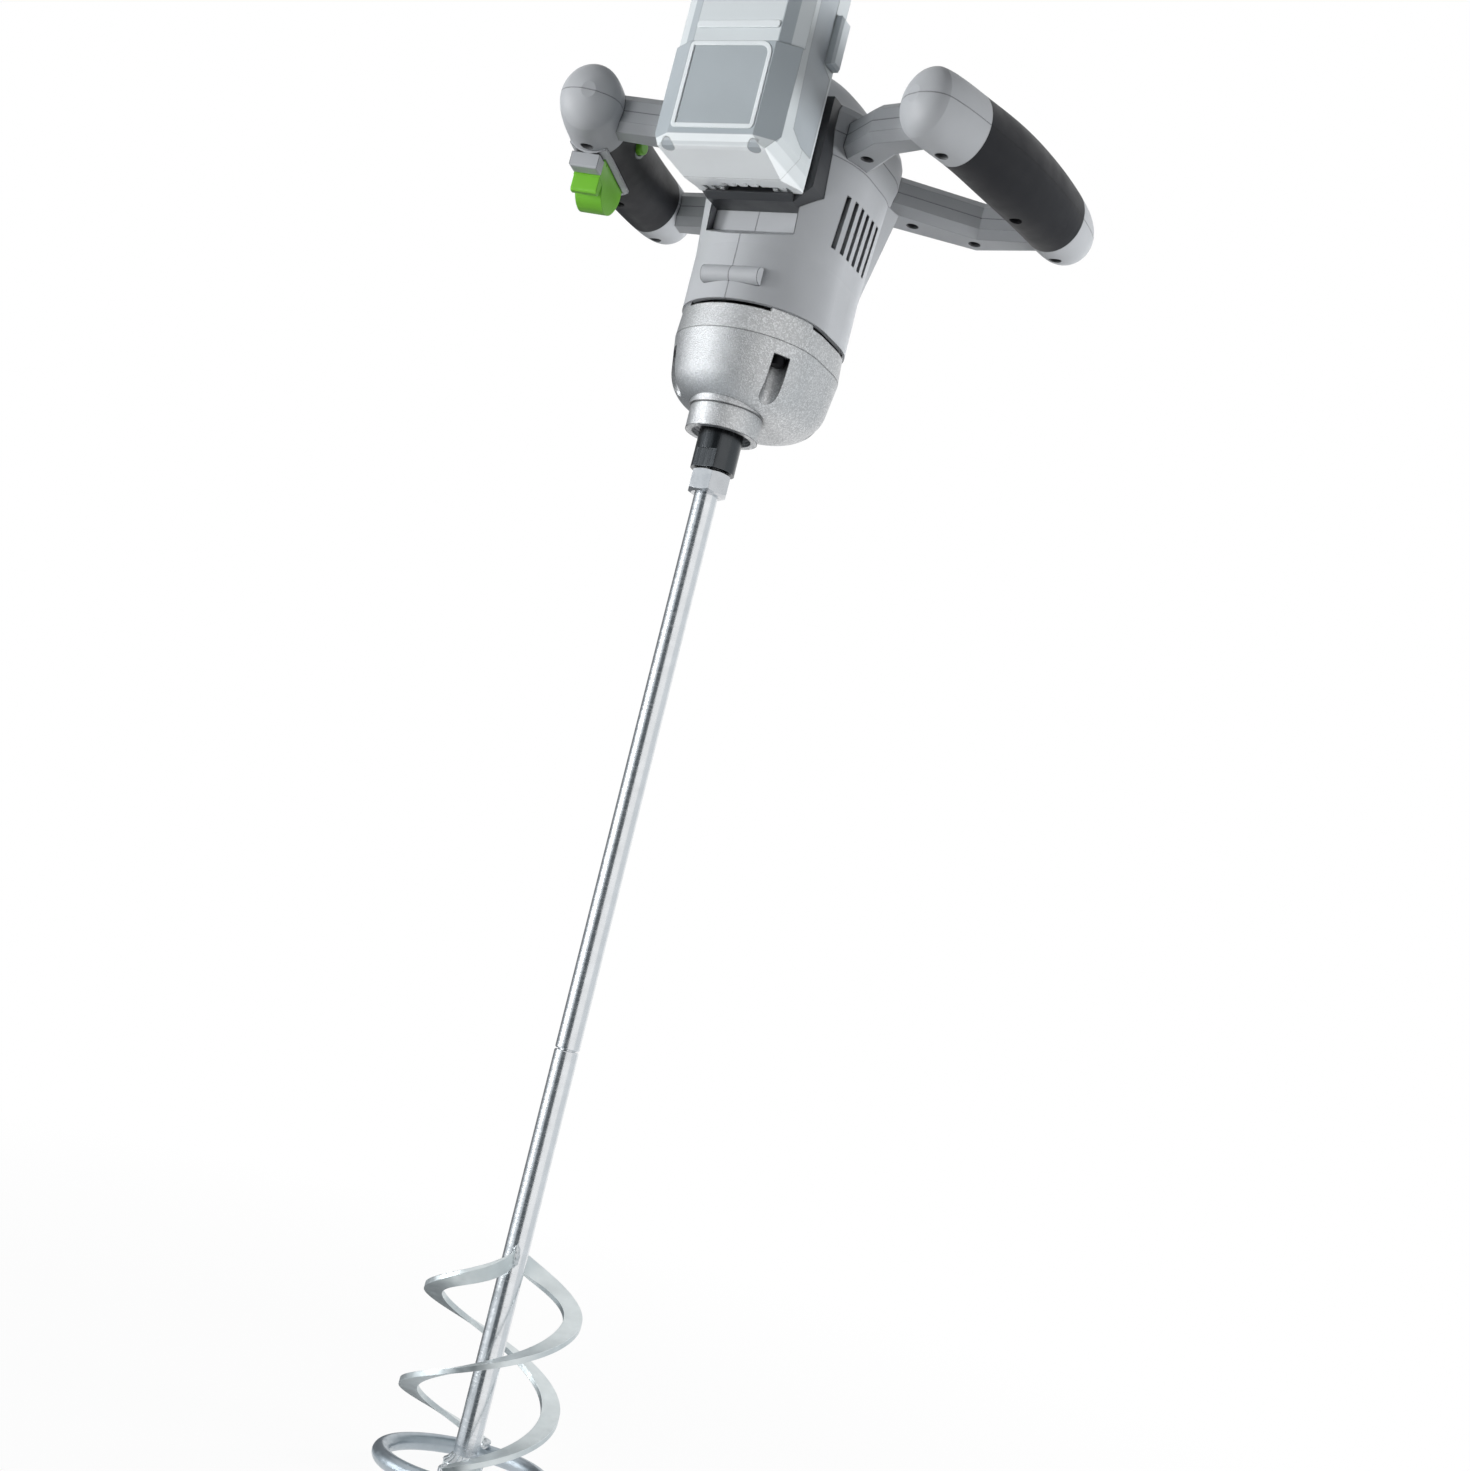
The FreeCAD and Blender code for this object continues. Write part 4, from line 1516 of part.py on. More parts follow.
def brush_holder():
    z = brush_z()
    outer = CAN_DIAMETER / 2 - CAN_WALL - SEAT_GAP
    ring = tube(outer, outer - BRUSH_HOLDER_WALL, z - BRUSH_HOLDER_HEIGHT / 2, z + BRUSH_HOLDER_HEIGHT / 2,
                0, MOTOR_OFFSET)
    cage = BRUSH_WIDTH / 2 + BRUSH_HOLDER_WALL
    cages = []
    for side in (-1, 1):
        inner = COMMUTATOR_DIAMETER / 2 + BRUSH_HOLDER_WALL
        block = box(min(side * inner, side * outer), max(side * inner, side * outer), MOTOR_OFFSET - cage,
                    MOTOR_OFFSET + cage, z - BRUSH_HOLDER_HEIGHT / 2, z + BRUSH_HOLDER_HEIGHT / 2)
        cages.append(block.common(rod(outer, z - BRUSH_HOLDER_HEIGHT, z + BRUSH_HOLDER_HEIGHT, 0, MOTOR_OFFSET)))
    body = joined([ring] + cages)
    bore = BRUSH_WIDTH / 2 + SEAT_GAP
    reach = COMMUTATOR_DIAMETER / 2 + BODY_GAP + BRUSH_LENGTH + SEAT_GAP
    return body.cut(box(-reach, reach, MOTOR_OFFSET - bore, MOTOR_OFFSET + bore, z - bore, z + bore))


# Mixing rod in two lengths, locked by a hex nut and joined by a stud
def hex_nut():
    corner = NUT_WIDTH / 2 / math.cos(math.pi / 6)
    points = [(corner * math.cos(math.radians(60 * index)), corner * math.sin(math.radians(60 * index)))
              for index in range(6)]
    body = prism(points, NUT_BOTTOM, NUT_TOP)
    bevel = (corner - NUT_WIDTH / 2) * 2
    steps = [V(0, 0, NUT_BOTTOM), V(corner - bevel, 0, NUT_BOTTOM), V(corner, 0, NUT_BOTTOM + bevel / 2),
             V(corner, 0, NUT_TOP - bevel / 2), V(corner - bevel, 0, NUT_TOP), V(0, 0, NUT_TOP)]
    spun = Part.Face(Part.makePolygon(steps + steps[:1])).revolve(V(0, 0, 0), V(0, 0, 1), 360)
    return body.common(spun).cut(rod(ROD_DIAMETER / 2 + SEAT_GAP, NUT_BOTTOM - OVERRUN, NUT_TOP + OVERRUN))


def rod_length(z0, z1, bore_low, bore_high):
    body = rod(ROD_DIAMETER / 2, z0, z1)
    edges = [edge for edge in body.Edges if edge.BoundBox.ZMax - edge.BoundBox.ZMin < SEAT_GAP]
    body = body.makeChamfer(ROD_JOINT_GAP, edges)
    bore = rod(STUD_DIAMETER / 2 + SEAT_GAP, z0 - OVERRUN if bore_low else z1 - STUD_LENGTH / 2,
               z0 + STUD_LENGTH / 2 if bore_low else z1 + OVERRUN)
    return body.cut(bore) if bore_low or bore_high else body


def upper_rod():
    return rod_length(-ROD_JOINT_DROP + ROD_JOINT_GAP / 2, -SPINDLE_NOSE + ROD_THREAD_REACH, True, False)


def lower_rod():
    return rod_length(-ROD_FOOT_DROP, -ROD_JOINT_DROP - ROD_JOINT_GAP / 2, False, True)


def rod_stud():
    middle = -ROD_JOINT_DROP
    return rod(STUD_DIAMETER / 2, middle - STUD_LENGTH / 2 + ROD_JOINT_GAP, middle + STUD_LENGTH / 2 - ROD_JOINT_GAP)


# Whisk ribbons: flat bar that leaves the rod on edge, twists flat and winds down to the ring
def ribbon(turn_offset):
    start_radius = ROD_DIAMETER / 2 + RIBBON_THICKNESS / 2 + SEAT_GAP
    top = -RIBBON_TOP_DROP - RIBBON_WIDTH / 2
    bottom = -RING_DROP + RING_BAR / 2 + RIBBON_THICKNESS / 2 + SEAT_GAP
    wires = []
    for step in range(RIBBON_STEPS + 1):
        share = step / RIBBON_STEPS
        spread = min(share / RIBBON_SPREAD_SHARE, 1)
        ease = math.sin(spread * math.pi / 2)
        radius = start_radius + (RIBBON_RADIUS - start_radius) * ease
        angle = math.radians(RIBBON_START + turn_offset - share * RIBBON_TURN)
        z = top + (bottom - top) * share
        twist = math.radians(RIBBON_TOP_TWIST) * (1 - ease)
        out = V(math.cos(angle), math.sin(angle), 0)
        wide = out * math.cos(twist) + V(0, 0, math.sin(twist))
        thick = V(0, 0, math.cos(twist)) - out * math.sin(twist)
        centre = out * radius + V(0, 0, z)
        half_wide = wide * (RIBBON_WIDTH / 2)
        half_thick = thick * (RIBBON_THICKNESS / 2)
        corners = [centre - half_wide - half_thick, centre + half_wide - half_thick,
                   centre + half_wide + half_thick, centre - half_wide + half_thick]
        wires.append(Part.makePolygon(corners + corners[:1]))
    return Part.makeLoft(wires, True, False)


def whisk_ring():
    return Part.makeTorus((RING_DIAMETER - RING_BAR) / 2, RING_BAR / 2, V(0, 0, -RING_DROP), V(0, 0, 1))


def whisk_hub():
    z1 = -ROD_FOOT_DROP - SEAT_GAP
    hub = rod(HUB_DIAMETER / 2, z1 - HUB_THICKNESS, z1)
    rims = [edge for edge in hub.Edges if edge.BoundBox.ZMax - edge.BoundBox.ZMin < SEAT_GAP]
    return hub.makeFillet(HUB_THICKNESS / 4, rims)


def build():
    housing = motor_housing()
    grip = handle_grip()
    left_grip = mirrored(grip)
    frame = handle_frame(grip)
    grip = grip.cut(frame_holes())
    left_grip = left_grip.cut(frame_holes() + [trigger_well(), lock_well()])
    shell = pack_shell()
    return {
        "gear_housing": gear_housing(),
        "gear_flange": gear_flange(),
        "gear_screws": gear_screws(),
        "motor_housing_left": left_half(housing),
        "motor_housing_right": right_half(housing),
        "housing_screws": housing_screws(),
        "handle_frame_lower": below(frame, PARTING),
        "handle_frame_upper": above(frame, PARTING),
        "frame_screws": frame_screws(),
        "right_grip_lower": below(grip, PARTING),
        "right_grip_upper": above(grip, PARTING),
        "left_grip_lower": below(left_grip, PARTING),
        "left_grip_upper": above(left_grip, PARTING),
        "top_cover": top_cover(),
        "battery_dock": battery_dock(),
        "dock_contacts": dock_contacts(),
        "control_board": control_board(),
        "switch_module": switch_block(0),
        "trigger_bezel": trigger_bezel(),
        "trigger": trigger(),
        "trigger_spring": trigger_spring(),
        "lock_bezel": lock_bezel(),
        "lock_button": lock_button(),
        "lock_spring": lock_spring(),
        "spindle_bearing": spindle_bearing(),
        "spindle_circlip": spindle_circlip(),
        "spindle_bush": spindle_bush(),
        "layshaft_bushes": layshaft_bushes(),
        "motor_can": motor_can(),
        "motor_magnets": motor_magnets(),
        "motor_bearings": motor_bearings(),
        "brush_holder": brush_holder(),
        "carbon_brushes": carbon_brushes(),
        "spindle": spindle(),
        "spindle_gear": spindle_gear(),
        "layshaft": layshaft(),
        "layshaft_gear": layshaft_gear(),
        "rotor_shaft": rotor_shaft(),
        "rotor_core": rotor_core(),
        "commutator": commutator(),
        "cooling_fan": cooling_fan(),
        "hex_nut": hex_nut(),
        "upper_rod": upper_rod(),
        "rod_stud": rod_stud(),
        "lower_rod": lower_rod(),
        "whisk_ribbon_front": ribbon(0),
        "whisk_ribbon_rear": ribbon(180),
        "whisk_ring": whisk_ring(),
        "whisk_hub": whisk_hub(),
        "battery_case_front": shell.common(split_box(True)),
        "battery_case_rear": shell.common(split_box(False)),
        "battery_label": battery_label(),
        "battery_side_panels": battery_side_panels(),
        "battery_plugs": battery_plugs(),
        "battery_cells": battery_cells(),
        "cell_cradle": cell_cradle(),
        "battery_terminals": battery_terminals(),
        "release_button_left": mirrored(release_button()),
        "release_button_right": release_button(),
        "release_springs": release_springs(),
    }


os.makedirs("parts", exist_ok=True)
for name, shape in build().items():
    shape.exportStep("parts/" + name + ".step")
    print(name, "solids", len(shape.Solids), "volume", round(shape.Volume), "valid", shape.isValid())
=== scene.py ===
import math
import bmesh
import bpy
from mathutils import Matrix, Vector, noise


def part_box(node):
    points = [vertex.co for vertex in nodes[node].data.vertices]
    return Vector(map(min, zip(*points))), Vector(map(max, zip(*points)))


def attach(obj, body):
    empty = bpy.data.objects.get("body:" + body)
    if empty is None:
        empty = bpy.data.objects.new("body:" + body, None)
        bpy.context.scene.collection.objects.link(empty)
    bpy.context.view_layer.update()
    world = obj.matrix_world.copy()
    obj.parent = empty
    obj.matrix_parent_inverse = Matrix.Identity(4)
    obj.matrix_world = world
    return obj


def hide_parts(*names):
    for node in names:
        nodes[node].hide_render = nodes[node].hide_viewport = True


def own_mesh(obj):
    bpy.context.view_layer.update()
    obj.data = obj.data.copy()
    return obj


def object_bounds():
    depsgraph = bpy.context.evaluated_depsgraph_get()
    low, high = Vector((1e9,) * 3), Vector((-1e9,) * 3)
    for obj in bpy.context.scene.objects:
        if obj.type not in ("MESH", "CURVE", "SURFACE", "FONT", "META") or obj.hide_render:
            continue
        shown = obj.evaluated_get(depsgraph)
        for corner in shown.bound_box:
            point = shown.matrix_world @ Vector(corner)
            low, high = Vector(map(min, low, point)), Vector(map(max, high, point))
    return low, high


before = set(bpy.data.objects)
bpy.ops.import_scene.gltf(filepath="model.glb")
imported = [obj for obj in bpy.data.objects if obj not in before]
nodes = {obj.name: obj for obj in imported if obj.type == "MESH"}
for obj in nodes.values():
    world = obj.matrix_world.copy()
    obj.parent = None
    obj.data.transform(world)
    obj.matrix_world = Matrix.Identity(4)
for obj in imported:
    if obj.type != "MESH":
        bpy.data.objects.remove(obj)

cad_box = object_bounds()


# Gear head: a bowl of die-cast aluminium with the clamping collar on its nose, and a flange of the
# same metal above it with the exhaust slots. Both are tumbled, which leaves a bright grainy skin, and
# four black screws pull them up to the motor housing.
def add(tree, kind, feeds=None, **settings):
    node = tree.nodes.new(kind)
    for key, value in settings.items():
        setattr(node, key, value)
    for socket, value in (feeds or {}).items():
        if isinstance(value, bpy.types.NodeSocket):
            tree.links.new(value, node.inputs[socket])
        else:
            node.inputs[socket].default_value = value
    return node


def effect(name, inputs, outputs):
    tree = bpy.data.node_groups.new(name, "ShaderNodeTree")
    for label, value in inputs:
        socket = tree.interface.new_socket(label, in_out="INPUT", socket_type="NodeSocketFloat")
        socket.default_value = value
    for label, kind in outputs:
        tree.interface.new_socket(label, in_out="OUTPUT", socket_type=kind)
    return tree, tree.nodes.new("NodeGroupInput"), tree.nodes.new("NodeGroupOutput")


def mapped(tree, value, low, high, to_low, to_high):
    node = add(tree, "ShaderNodeMapRange", {"Value": value, "From Min": low, "From Max": high,
                                            "To Min": to_low, "To Max": to_high})
    return node.outputs["Result"]


def blended(tree, amount, first, second, mode="MIX"):
    node = add(tree, "ShaderNodeMix", {0: amount, 6: first, 7: second}, data_type="RGBA", blend_type=mode)
    return node.outputs[2]


def tone(colour, level):
    return (colour[0] * level, colour[1] * level, colour[2] * level, 1)


# Edges as they leave the tool: slightly rounded, with a mask of the sharp ones, where two pieces meet in a
# dark line, and a mask of the blunt ones, which wear bright on metal and carry a painted highlight on
# moulded parts
rounded_edges, edges_in, edges_out = effect(
    "rounded_edges", [("Radius", 0.0006)],
    [("Normal", "NodeSocketVector"), ("Seam", "NodeSocketFloat"), ("Edge", "NodeSocketFloat")])
edge_round = add(rounded_edges, "ShaderNodeBevel", {"Radius": edges_in.outputs["Radius"]}, samples=6)
edge_flat = add(rounded_edges, "ShaderNodeNewGeometry")
edge_turn = add(rounded_edges, "ShaderNodeVectorMath",
                {0: edge_round.outputs["Normal"], 1: edge_flat.outputs["Normal"]}, operation="DOT_PRODUCT")
seam_round = add(rounded_edges, "ShaderNodeBevel", {"Radius": 0.0013}, samples=6)
seam_turn = add(rounded_edges, "ShaderNodeVectorMath",
                {0: seam_round.outputs["Normal"], 1: edge_flat.outputs["Normal"]}, operation="DOT_PRODUCT")
rounded_edges.links.new(edge_round.outputs["Normal"], edges_out.inputs["Normal"])
rounded_edges.links.new(mapped(rounded_edges, seam_turn.outputs["Value"], 0.915, 0.84, 0.0, 1.0),
                        edges_out.inputs["Seam"])
rounded_edges.links.new(mapped(rounded_edges, edge_turn.outputs["Value"], 0.995, 0.93, 0.0, 1.0),
                        edges_out.inputs["Edge"])

# Cast skin: crystal-like grains that sparkle, over slow clouds of tone
cast_skin, skin_in, skin_out = effect(
    "cast_skin", [("Grain", 900.0)],
    [("Height", "NodeSocketFloat"), ("Spark", "NodeSocketFloat"), ("Cloud", "NodeSocketFloat")])
skin_place = add(cast_skin, "ShaderNodeTexCoord")
skin_grains = add(cast_skin, "ShaderNodeTexVoronoi",
                  {"Vector": skin_place.outputs["Object"], "Scale": skin_in.outputs["Grain"]})
skin_fine = add(cast_skin, "ShaderNodeTexNoise",
                {"Vector": skin_place.outputs["Object"], "Scale": 1500.0, "Detail": 3.0, "Roughness": 0.65})
skin_cloud = add(cast_skin, "ShaderNodeTexNoise",
                 {"Vector": skin_place.outputs["Object"], "Scale": 90.0, "Detail": 3.0})
skin_height = add(cast_skin, "ShaderNodeMath",
                  {0: skin_grains.outputs["Distance"], 1: skin_fine.outputs["Fac"]}, operation="MULTIPLY")
cast_skin.links.new(skin_height.outputs[0], skin_out.inputs["Height"])
skin_dot = add(cast_skin, "ShaderNodeSeparateColor", {"Color": skin_grains.outputs["Color"]})
cast_skin.links.new(mapped(cast_skin, skin_dot.outputs[0], 0.45, 0.95, 0.0, 1.0), skin_out.inputs["Spark"])
cast_skin.links.new(skin_cloud.outputs["Fac"], skin_out.inputs["Cloud"])

GRAIN_DEPTH = 0.0006
# Reach of the painted shade that darkens creases and slots in cast metal
CREASE_SHADE_REACH = 0.009


def started(name, metallic=0.0):
    material = bpy.data.materials.new(name)
    material.use_nodes = True
    tree = material.node_tree
    tree.nodes["Principled BSDF"].inputs["Metallic"].default_value = metallic
    return material, tree


def finished(tree, body, rough, bump):
    surface = tree.nodes["Principled BSDF"]
    tree.links.new(body, surface.inputs["Base Color"])
    tree.links.new(rough, surface.inputs["Roughness"])
    tree.links.new(add(tree, "ShaderNodeBump", bump).outputs["Normal"], surface.inputs["Normal"])


def cast_metal(name, colour, rough, relief, grain):
    material, tree = started(name, metallic=1.0)
    skin = add(tree, "ShaderNodeGroup", {"Grain": grain}, node_tree=cast_skin)
    edges = add(tree, "ShaderNodeGroup", node_tree=rounded_edges)
    dull = mapped(tree, skin.outputs["Cloud"], 0.35, 0.7, 0.0, 0.5)
    # Painted shade: creases and slots within reach are darkened towards black
    shade_probe = add(tree, "ShaderNodeAmbientOcclusion", {"Distance": CREASE_SHADE_REACH}, samples=8, only_local=True)
    recess_shade = mapped(tree, shade_probe.outputs["AO"], 0.8, 0.4, 0.0, 0.85)
    body = blended(tree, skin.outputs["Spark"], tone(colour, 0.78), tone(colour, 1.16))
    body = blended(tree, dull, body, tone(colour, 0.9))
    body = blended(tree, edges.outputs["Seam"], body, tone(colour, 0.14))
    body = blended(tree, recess_shade, body, tone(colour, 0.12))
    finished(tree, body, mapped(tree, skin.outputs["Spark"], 0.0, 1.0, rough + 0.08, rough - 0.08),
             {"Strength": relief, "Distance": GRAIN_DEPTH, "Height": skin.outputs["Height"],
              "Normal": edges.outputs["Normal"]})
    return material


def dress(material, *names):
    for name in names:
        for place in nodes[name].material_slots:
            place.material = material


tumbled_aluminium = cast_metal("tumbled_aluminium", (0.67, 0.68, 0.69), 0.36, 0.55, 1500.0)
dress(tumbled_aluminium, "gear_housing", "gear_flange")

# Screws: steel, blackened with oil after heading and rolling, driven up from below.
# Their heads sit deep in counterbores, so they read almost black.
MARK_DEPTH = 0.0002
METAL_EDGE = 0.0004


def worked_metal(name, colour, rough, stretch, relief=0.12, wear=1.25):
    material, tree = started(name, metallic=1.0)
    place = add(tree, "ShaderNodeTexCoord").outputs["Object"]
    drawn = add(tree, "ShaderNodeMapping", {"Vector": place, "Scale": stretch}).outputs["Vector"]
    marks = add(tree, "ShaderNodeTexNoise", {"Vector": drawn, "Scale": 1.0, "Detail": 4.0}).outputs["Fac"]
    cloud = add(tree, "ShaderNodeTexNoise", {"Vector": place, "Scale": 140.0, "Detail": 3.0}).outputs["Fac"]
    edges = add(tree, "ShaderNodeGroup", {"Radius": METAL_EDGE}, node_tree=rounded_edges)
    body = blended(tree, cloud, tone(colour, 0.88), tone(colour, 1.1))
    body = blended(tree, edges.outputs["Edge"], body, tone(colour, wear))
    finished(tree, body, mapped(tree, marks, 0.3, 0.7, rough - 0.06, rough + 0.08),
             {"Strength": relief, "Distance": MARK_DEPTH, "Height": marks,
              "Normal": edges.outputs["Normal"]})
    return material


black_screw = worked_metal("blackened_screw", (0.012, 0.012, 0.013), 0.5, (600, 600, 600))
dress(black_screw, "gear_screws", "housing_screws", "frame_screws")

# Gear train: hardened steel gears and shafts with hobbed teeth, a ball bearing and circlip that carry
# the spindle, and sintered bronze bushes pressed into the castings.
ground_steel = worked_metal("ground_steel", (0.5, 0.5, 0.51), 0.28, (60, 60, 3200))
dress(ground_steel, "spindle_bearing", "spindle_circlip", "motor_bearings", "layshaft", "rotor_shaft")
hobbed_steel = worked_metal("hobbed_steel", (0.36, 0.36, 0.37), 0.36, (900, 900, 200))
dress(hobbed_steel, "spindle_gear", "layshaft_gear")
sintered_bronze = cast_metal("sintered_bronze", (0.55, 0.33, 0.14), 0.5, 0.35, 1800.0)
dress(sintered_bronze, "spindle_bush", "layshaft_bushes")

# Motor: a drawn and plated steel can with ferrite magnets glued inside, a slotted rotor core of steel
# sheets, a copper commutator, and carbon brushes in a holder; the fan is moulded in black nylon.
dress(worked_metal("plated_can", (0.56, 0.55, 0.52), 0.34, (90, 90, 900)), "motor_can")
dress(worked_metal("stacked_sheets", (0.33, 0.32, 0.31), 0.45, (20, 20, 4200), 0.3), "rotor_core")
dress(worked_metal("turned_copper", (0.72, 0.36, 0.2), 0.3, (60, 60, 3600)), "commutator")

# Moulded skin: fine spark-eroded pits with slow clouds of tone and of wear
moulded_skin, pits_in, pits_out = effect(
    "moulded_skin", [("Pitch", 1700.0)],
    [("Height", "NodeSocketFloat"), ("Cloud", "NodeSocketFloat"), ("Wear", "NodeSocketFloat")])
pits_place = add(moulded_skin, "ShaderNodeTexCoord")
pits_fine = add(moulded_skin, "ShaderNodeTexNoise",
                {"Vector": pits_place.outputs["Object"], "Scale": pits_in.outputs["Pitch"], "Detail": 2.0})
pits_cloud = add(moulded_skin, "ShaderNodeTexNoise",
                 {"Vector": pits_place.outputs["Object"], "Scale": 24.0, "Detail": 4.0})
pits_wear = add(moulded_skin, "ShaderNodeTexNoise",
                {"Vector": pits_place.outputs["Object"], "Scale": 75.0, "Detail": 5.0, "Roughness": 0.6})
moulded_skin.links.new(pits_fine.outputs["Fac"], pits_out.inputs["Height"])
moulded_skin.links.new(mapped(moulded_skin, pits_cloud.outputs["Fac"], 0.3, 0.7, 0.0, 1.0),
                       pits_out.inputs["Cloud"])
moulded_skin.links.new(mapped(moulded_skin, pits_wear.outputs["Fac"], 0.35, 0.7, 0.0, 1.0),
                       pits_out.inputs["Wear"])

BLACK = (0, 0, 0, 1)
WHITE = (1, 1, 1, 1)
# Painted shade for holes and creases of moulded parts: its colour and its reach
HOLE_SHADE = (0.004, 0.004, 0.004, 1)
HOLE_SHADE_REACH = 0.014
MOULDED_EDGE = 0.0005
PIT_DEPTH = 0.0002


# edge sets the painted highlight on the edges of moulded parts
def moulded(name, colour, rough, relief=0.2, pitch=1700.0, seam=0.2, edge=1.12, hole_shade_level=0.9, gloss=0.5,
            paint=None):
    material, tree = started(name)
    tree.nodes["Principled BSDF"].inputs["Specular IOR Level"].default_value = gloss
    skin = add(tree, "ShaderNodeGroup", {"Pitch": pitch}, node_tree=moulded_skin)
    edges = add(tree, "ShaderNodeGroup", {"Radius": MOULDED_EDGE}, node_tree=rounded_edges)
    if paint:
        body = paint(tree)
        body = blended(tree, mapped(tree, skin.outputs["Cloud"], 0.0, 1.0, 0.0, 0.06), body, BLACK)
        # Painted highlight: the edges of the painted body are lifted towards white
        edge_highlight = blended(tree, 0.3, body, WHITE)
        sunk = blended(tree, 1.0 - seam, body, BLACK)
    else:
        body = blended(tree, skin.outputs["Cloud"], tone(colour, 0.95), tone(colour, 1.05))
        # Painted highlight: the edges get a lighter copy of the colour
        edge_highlight = tone(colour, edge)
        sunk = tone(colour, seam)
    body = blended(tree, edges.outputs["Edge"], body, edge_highlight)
    body = blended(tree, edges.outputs["Seam"], body, sunk)
    # Painted shade: holes and creases within reach are darkened towards black
    shade_probe = add(tree, "ShaderNodeAmbientOcclusion", {"Distance": HOLE_SHADE_REACH}, samples=8, only_local=True)
    recess_shade = mapped(tree, shade_probe.outputs["AO"], 0.62, 0.42, 0.0, hole_shade_level)
    body = blended(tree, recess_shade, body, HOLE_SHADE)
    finished(tree, body, mapped(tree, skin.outputs["Wear"], 0.0, 1.0, rough + 0.05, rough - 0.07),
             {"Strength": relief, "Distance": PIT_DEPTH, "Height": skin.outputs["Height"],
              "Normal": edges.outputs["Normal"]})
    return material


inner_black = moulded("inner_black", (0.022, 0.022, 0.024), 0.5, edge=1.5)
dress(inner_black, "brush_holder", "cooling_fan", "switch_module")
dress(moulded("ferrite", (0.05, 0.05, 0.055), 0.62, 0.4, 900.0), "motor_magnets")
dress(moulded("carbon", (0.03, 0.03, 0.032), 0.38, 0.3, 2400.0), "carbon_brushes")

# Motor housing: two half shells of grey glass-filled nylon, moulded with a fine grain, screwed together
# through the bosses at front and back. The joint between them shows as a thin dark line.
HOUSING_GREY = (0.4, 0.415, 0.435)
housing_grey = moulded("housing_grey", HOUSING_GREY, 0.5, gloss=0.35)
dress(housing_grey, "motor_housing_left", "motor_housing_right")

# Handle frame: a lower and an upper shell of the same grey nylon, with the band round the body, the four
# arms and the ends of both handles in one piece each, screwed together from below. The top cover closes
# the band.
dress(housing_grey, "handle_frame_lower", "handle_frame_upper", "top_cover")

# Grip covers: charcoal thermoplastic rubber, moulded in a lower and an upper half round each handle.
# The skin is matt and slightly coarser than the nylon.
grip_charcoal = moulded("grip_charcoal", (0.0135, 0.014, 0.0165), 0.5, 0.35, 1300.0, edge=1.2, gloss=0.2)
dress(grip_charcoal, "right_grip_lower", "right_grip_upper", "left_grip_lower", "left_grip_upper")

# Battery dock: a charcoal nylon tray let into the front of the body, with a ledge and a T rail for the
# pack, tinned contact blades, and a lacquered control board behind its plate.
# Its edges carry a strong painted highlight
dock_charcoal = moulded("dock_charcoal", (0.034, 0.036, 0.04), 0.38, seam=0.5, edge=1.6)
dress(dock_charcoal, "battery_dock")
tinned_blade = worked_metal("tinned_blade", (0.6, 0.55, 0.42), 0.3, (900, 900, 120))
dress(tinned_blade, "dock_contacts", "battery_terminals")
dress(moulded("board_green", (0.02, 0.11, 0.05), 0.3, 0.3, 500.0), "control_board")

# Springs: patented steel wire, coiled cold with closed ends, left bright under a film of oil.
# One stands behind the trigger, one behind the lock button and one behind each release button.
spring_wire = worked_metal("spring_wire", (0.46, 0.46, 0.47), 0.3, (2000, 2000, 2000))
WIRE_SIDES = 10
TURN_STEPS = 28
CLOSED_PITCH = 1.1


def placed(name, mesh, material):
    data = bpy.data.meshes.new(name)
    mesh.to_mesh(data)
    mesh.free()
    data.materials.append(material)
    item = bpy.data.objects.new(name, data)
    bpy.context.scene.collection.objects.link(item)
    return item


def fitted(name, mesh, material, body):
    bmesh.ops.recalc_face_normals(mesh, faces=mesh.faces)
    piece = placed(name, mesh, material)
    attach(piece, body)
    return piece


def coil(name, seat, free_end, across, wire, open_turns, body, joint, travel):
    way = Vector(free_end) - Vector(seat)
    spring = bmesh.new()
    section = Matrix.Translation(((across - wire) / 2, 0, wire / 2)) @ Matrix.Rotation(math.pi / 2, 4, "X")
    bmesh.ops.create_circle(spring, segments=WIRE_SIDES, radius=wire / 2, matrix=section)
    last = spring.verts[:] + spring.edges[:]
    closed_rise = wire * CLOSED_PITCH
    open_rise = (way.length - wire - 2 * closed_rise) / open_turns
    for turns, rise in ((1, closed_rise), (open_turns, open_rise), (1, closed_rise)):
        swept = bmesh.ops.spin(spring, geom=last, axis=(0, 0, 1), dvec=(0, 0, rise / TURN_STEPS),
                               angle=turns * math.tau, steps=turns * TURN_STEPS)
        last = swept["geom_last"]
    bmesh.ops.holes_fill(spring, edges=[edge for edge in spring.edges if edge.is_boundary])
    for face in spring.faces:
        face.smooth = True
    turned = way.to_track_quat("Z", "Y").to_matrix().to_4x4()
    bmesh.ops.transform(spring, verts=spring.verts, matrix=Matrix.Translation(seat) @ turned)
    piece = fitted(name, spring, spring_wire, body)
    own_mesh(piece)
    return piece


STRONG_SPRING = (0.007, 0.0009)
LIGHT_SPRING = (0.005, 0.0006)
TRIGGER_TRAVEL = 0.006
LOCK_TRAVEL = 0.0032
RELEASE_TRAVEL = 0.003
RELEASE_SEAT = 0.0315

low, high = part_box("trigger_spring")
middle = ((low[0] + high[0]) / 2, (low[1] + high[1]) / 2)
trigger_coil = coil("trigger_coil", (*middle, high[2]), (*middle, low[2]), *STRONG_SPRING, 2,
                    "housing", "trigger_pull", TRIGGER_TRAVEL)
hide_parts("trigger_spring")

low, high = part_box("lock_spring")
middle = ((low[1] + high[1]) / 2, (low[2] + high[2]) / 2)
lock_coil = coil("lock_coil", (low[0], *middle), (high[0], *middle), *LIGHT_SPRING, 1,
                 "housing", "lock_press", LOCK_TRAVEL)
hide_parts("lock_spring")

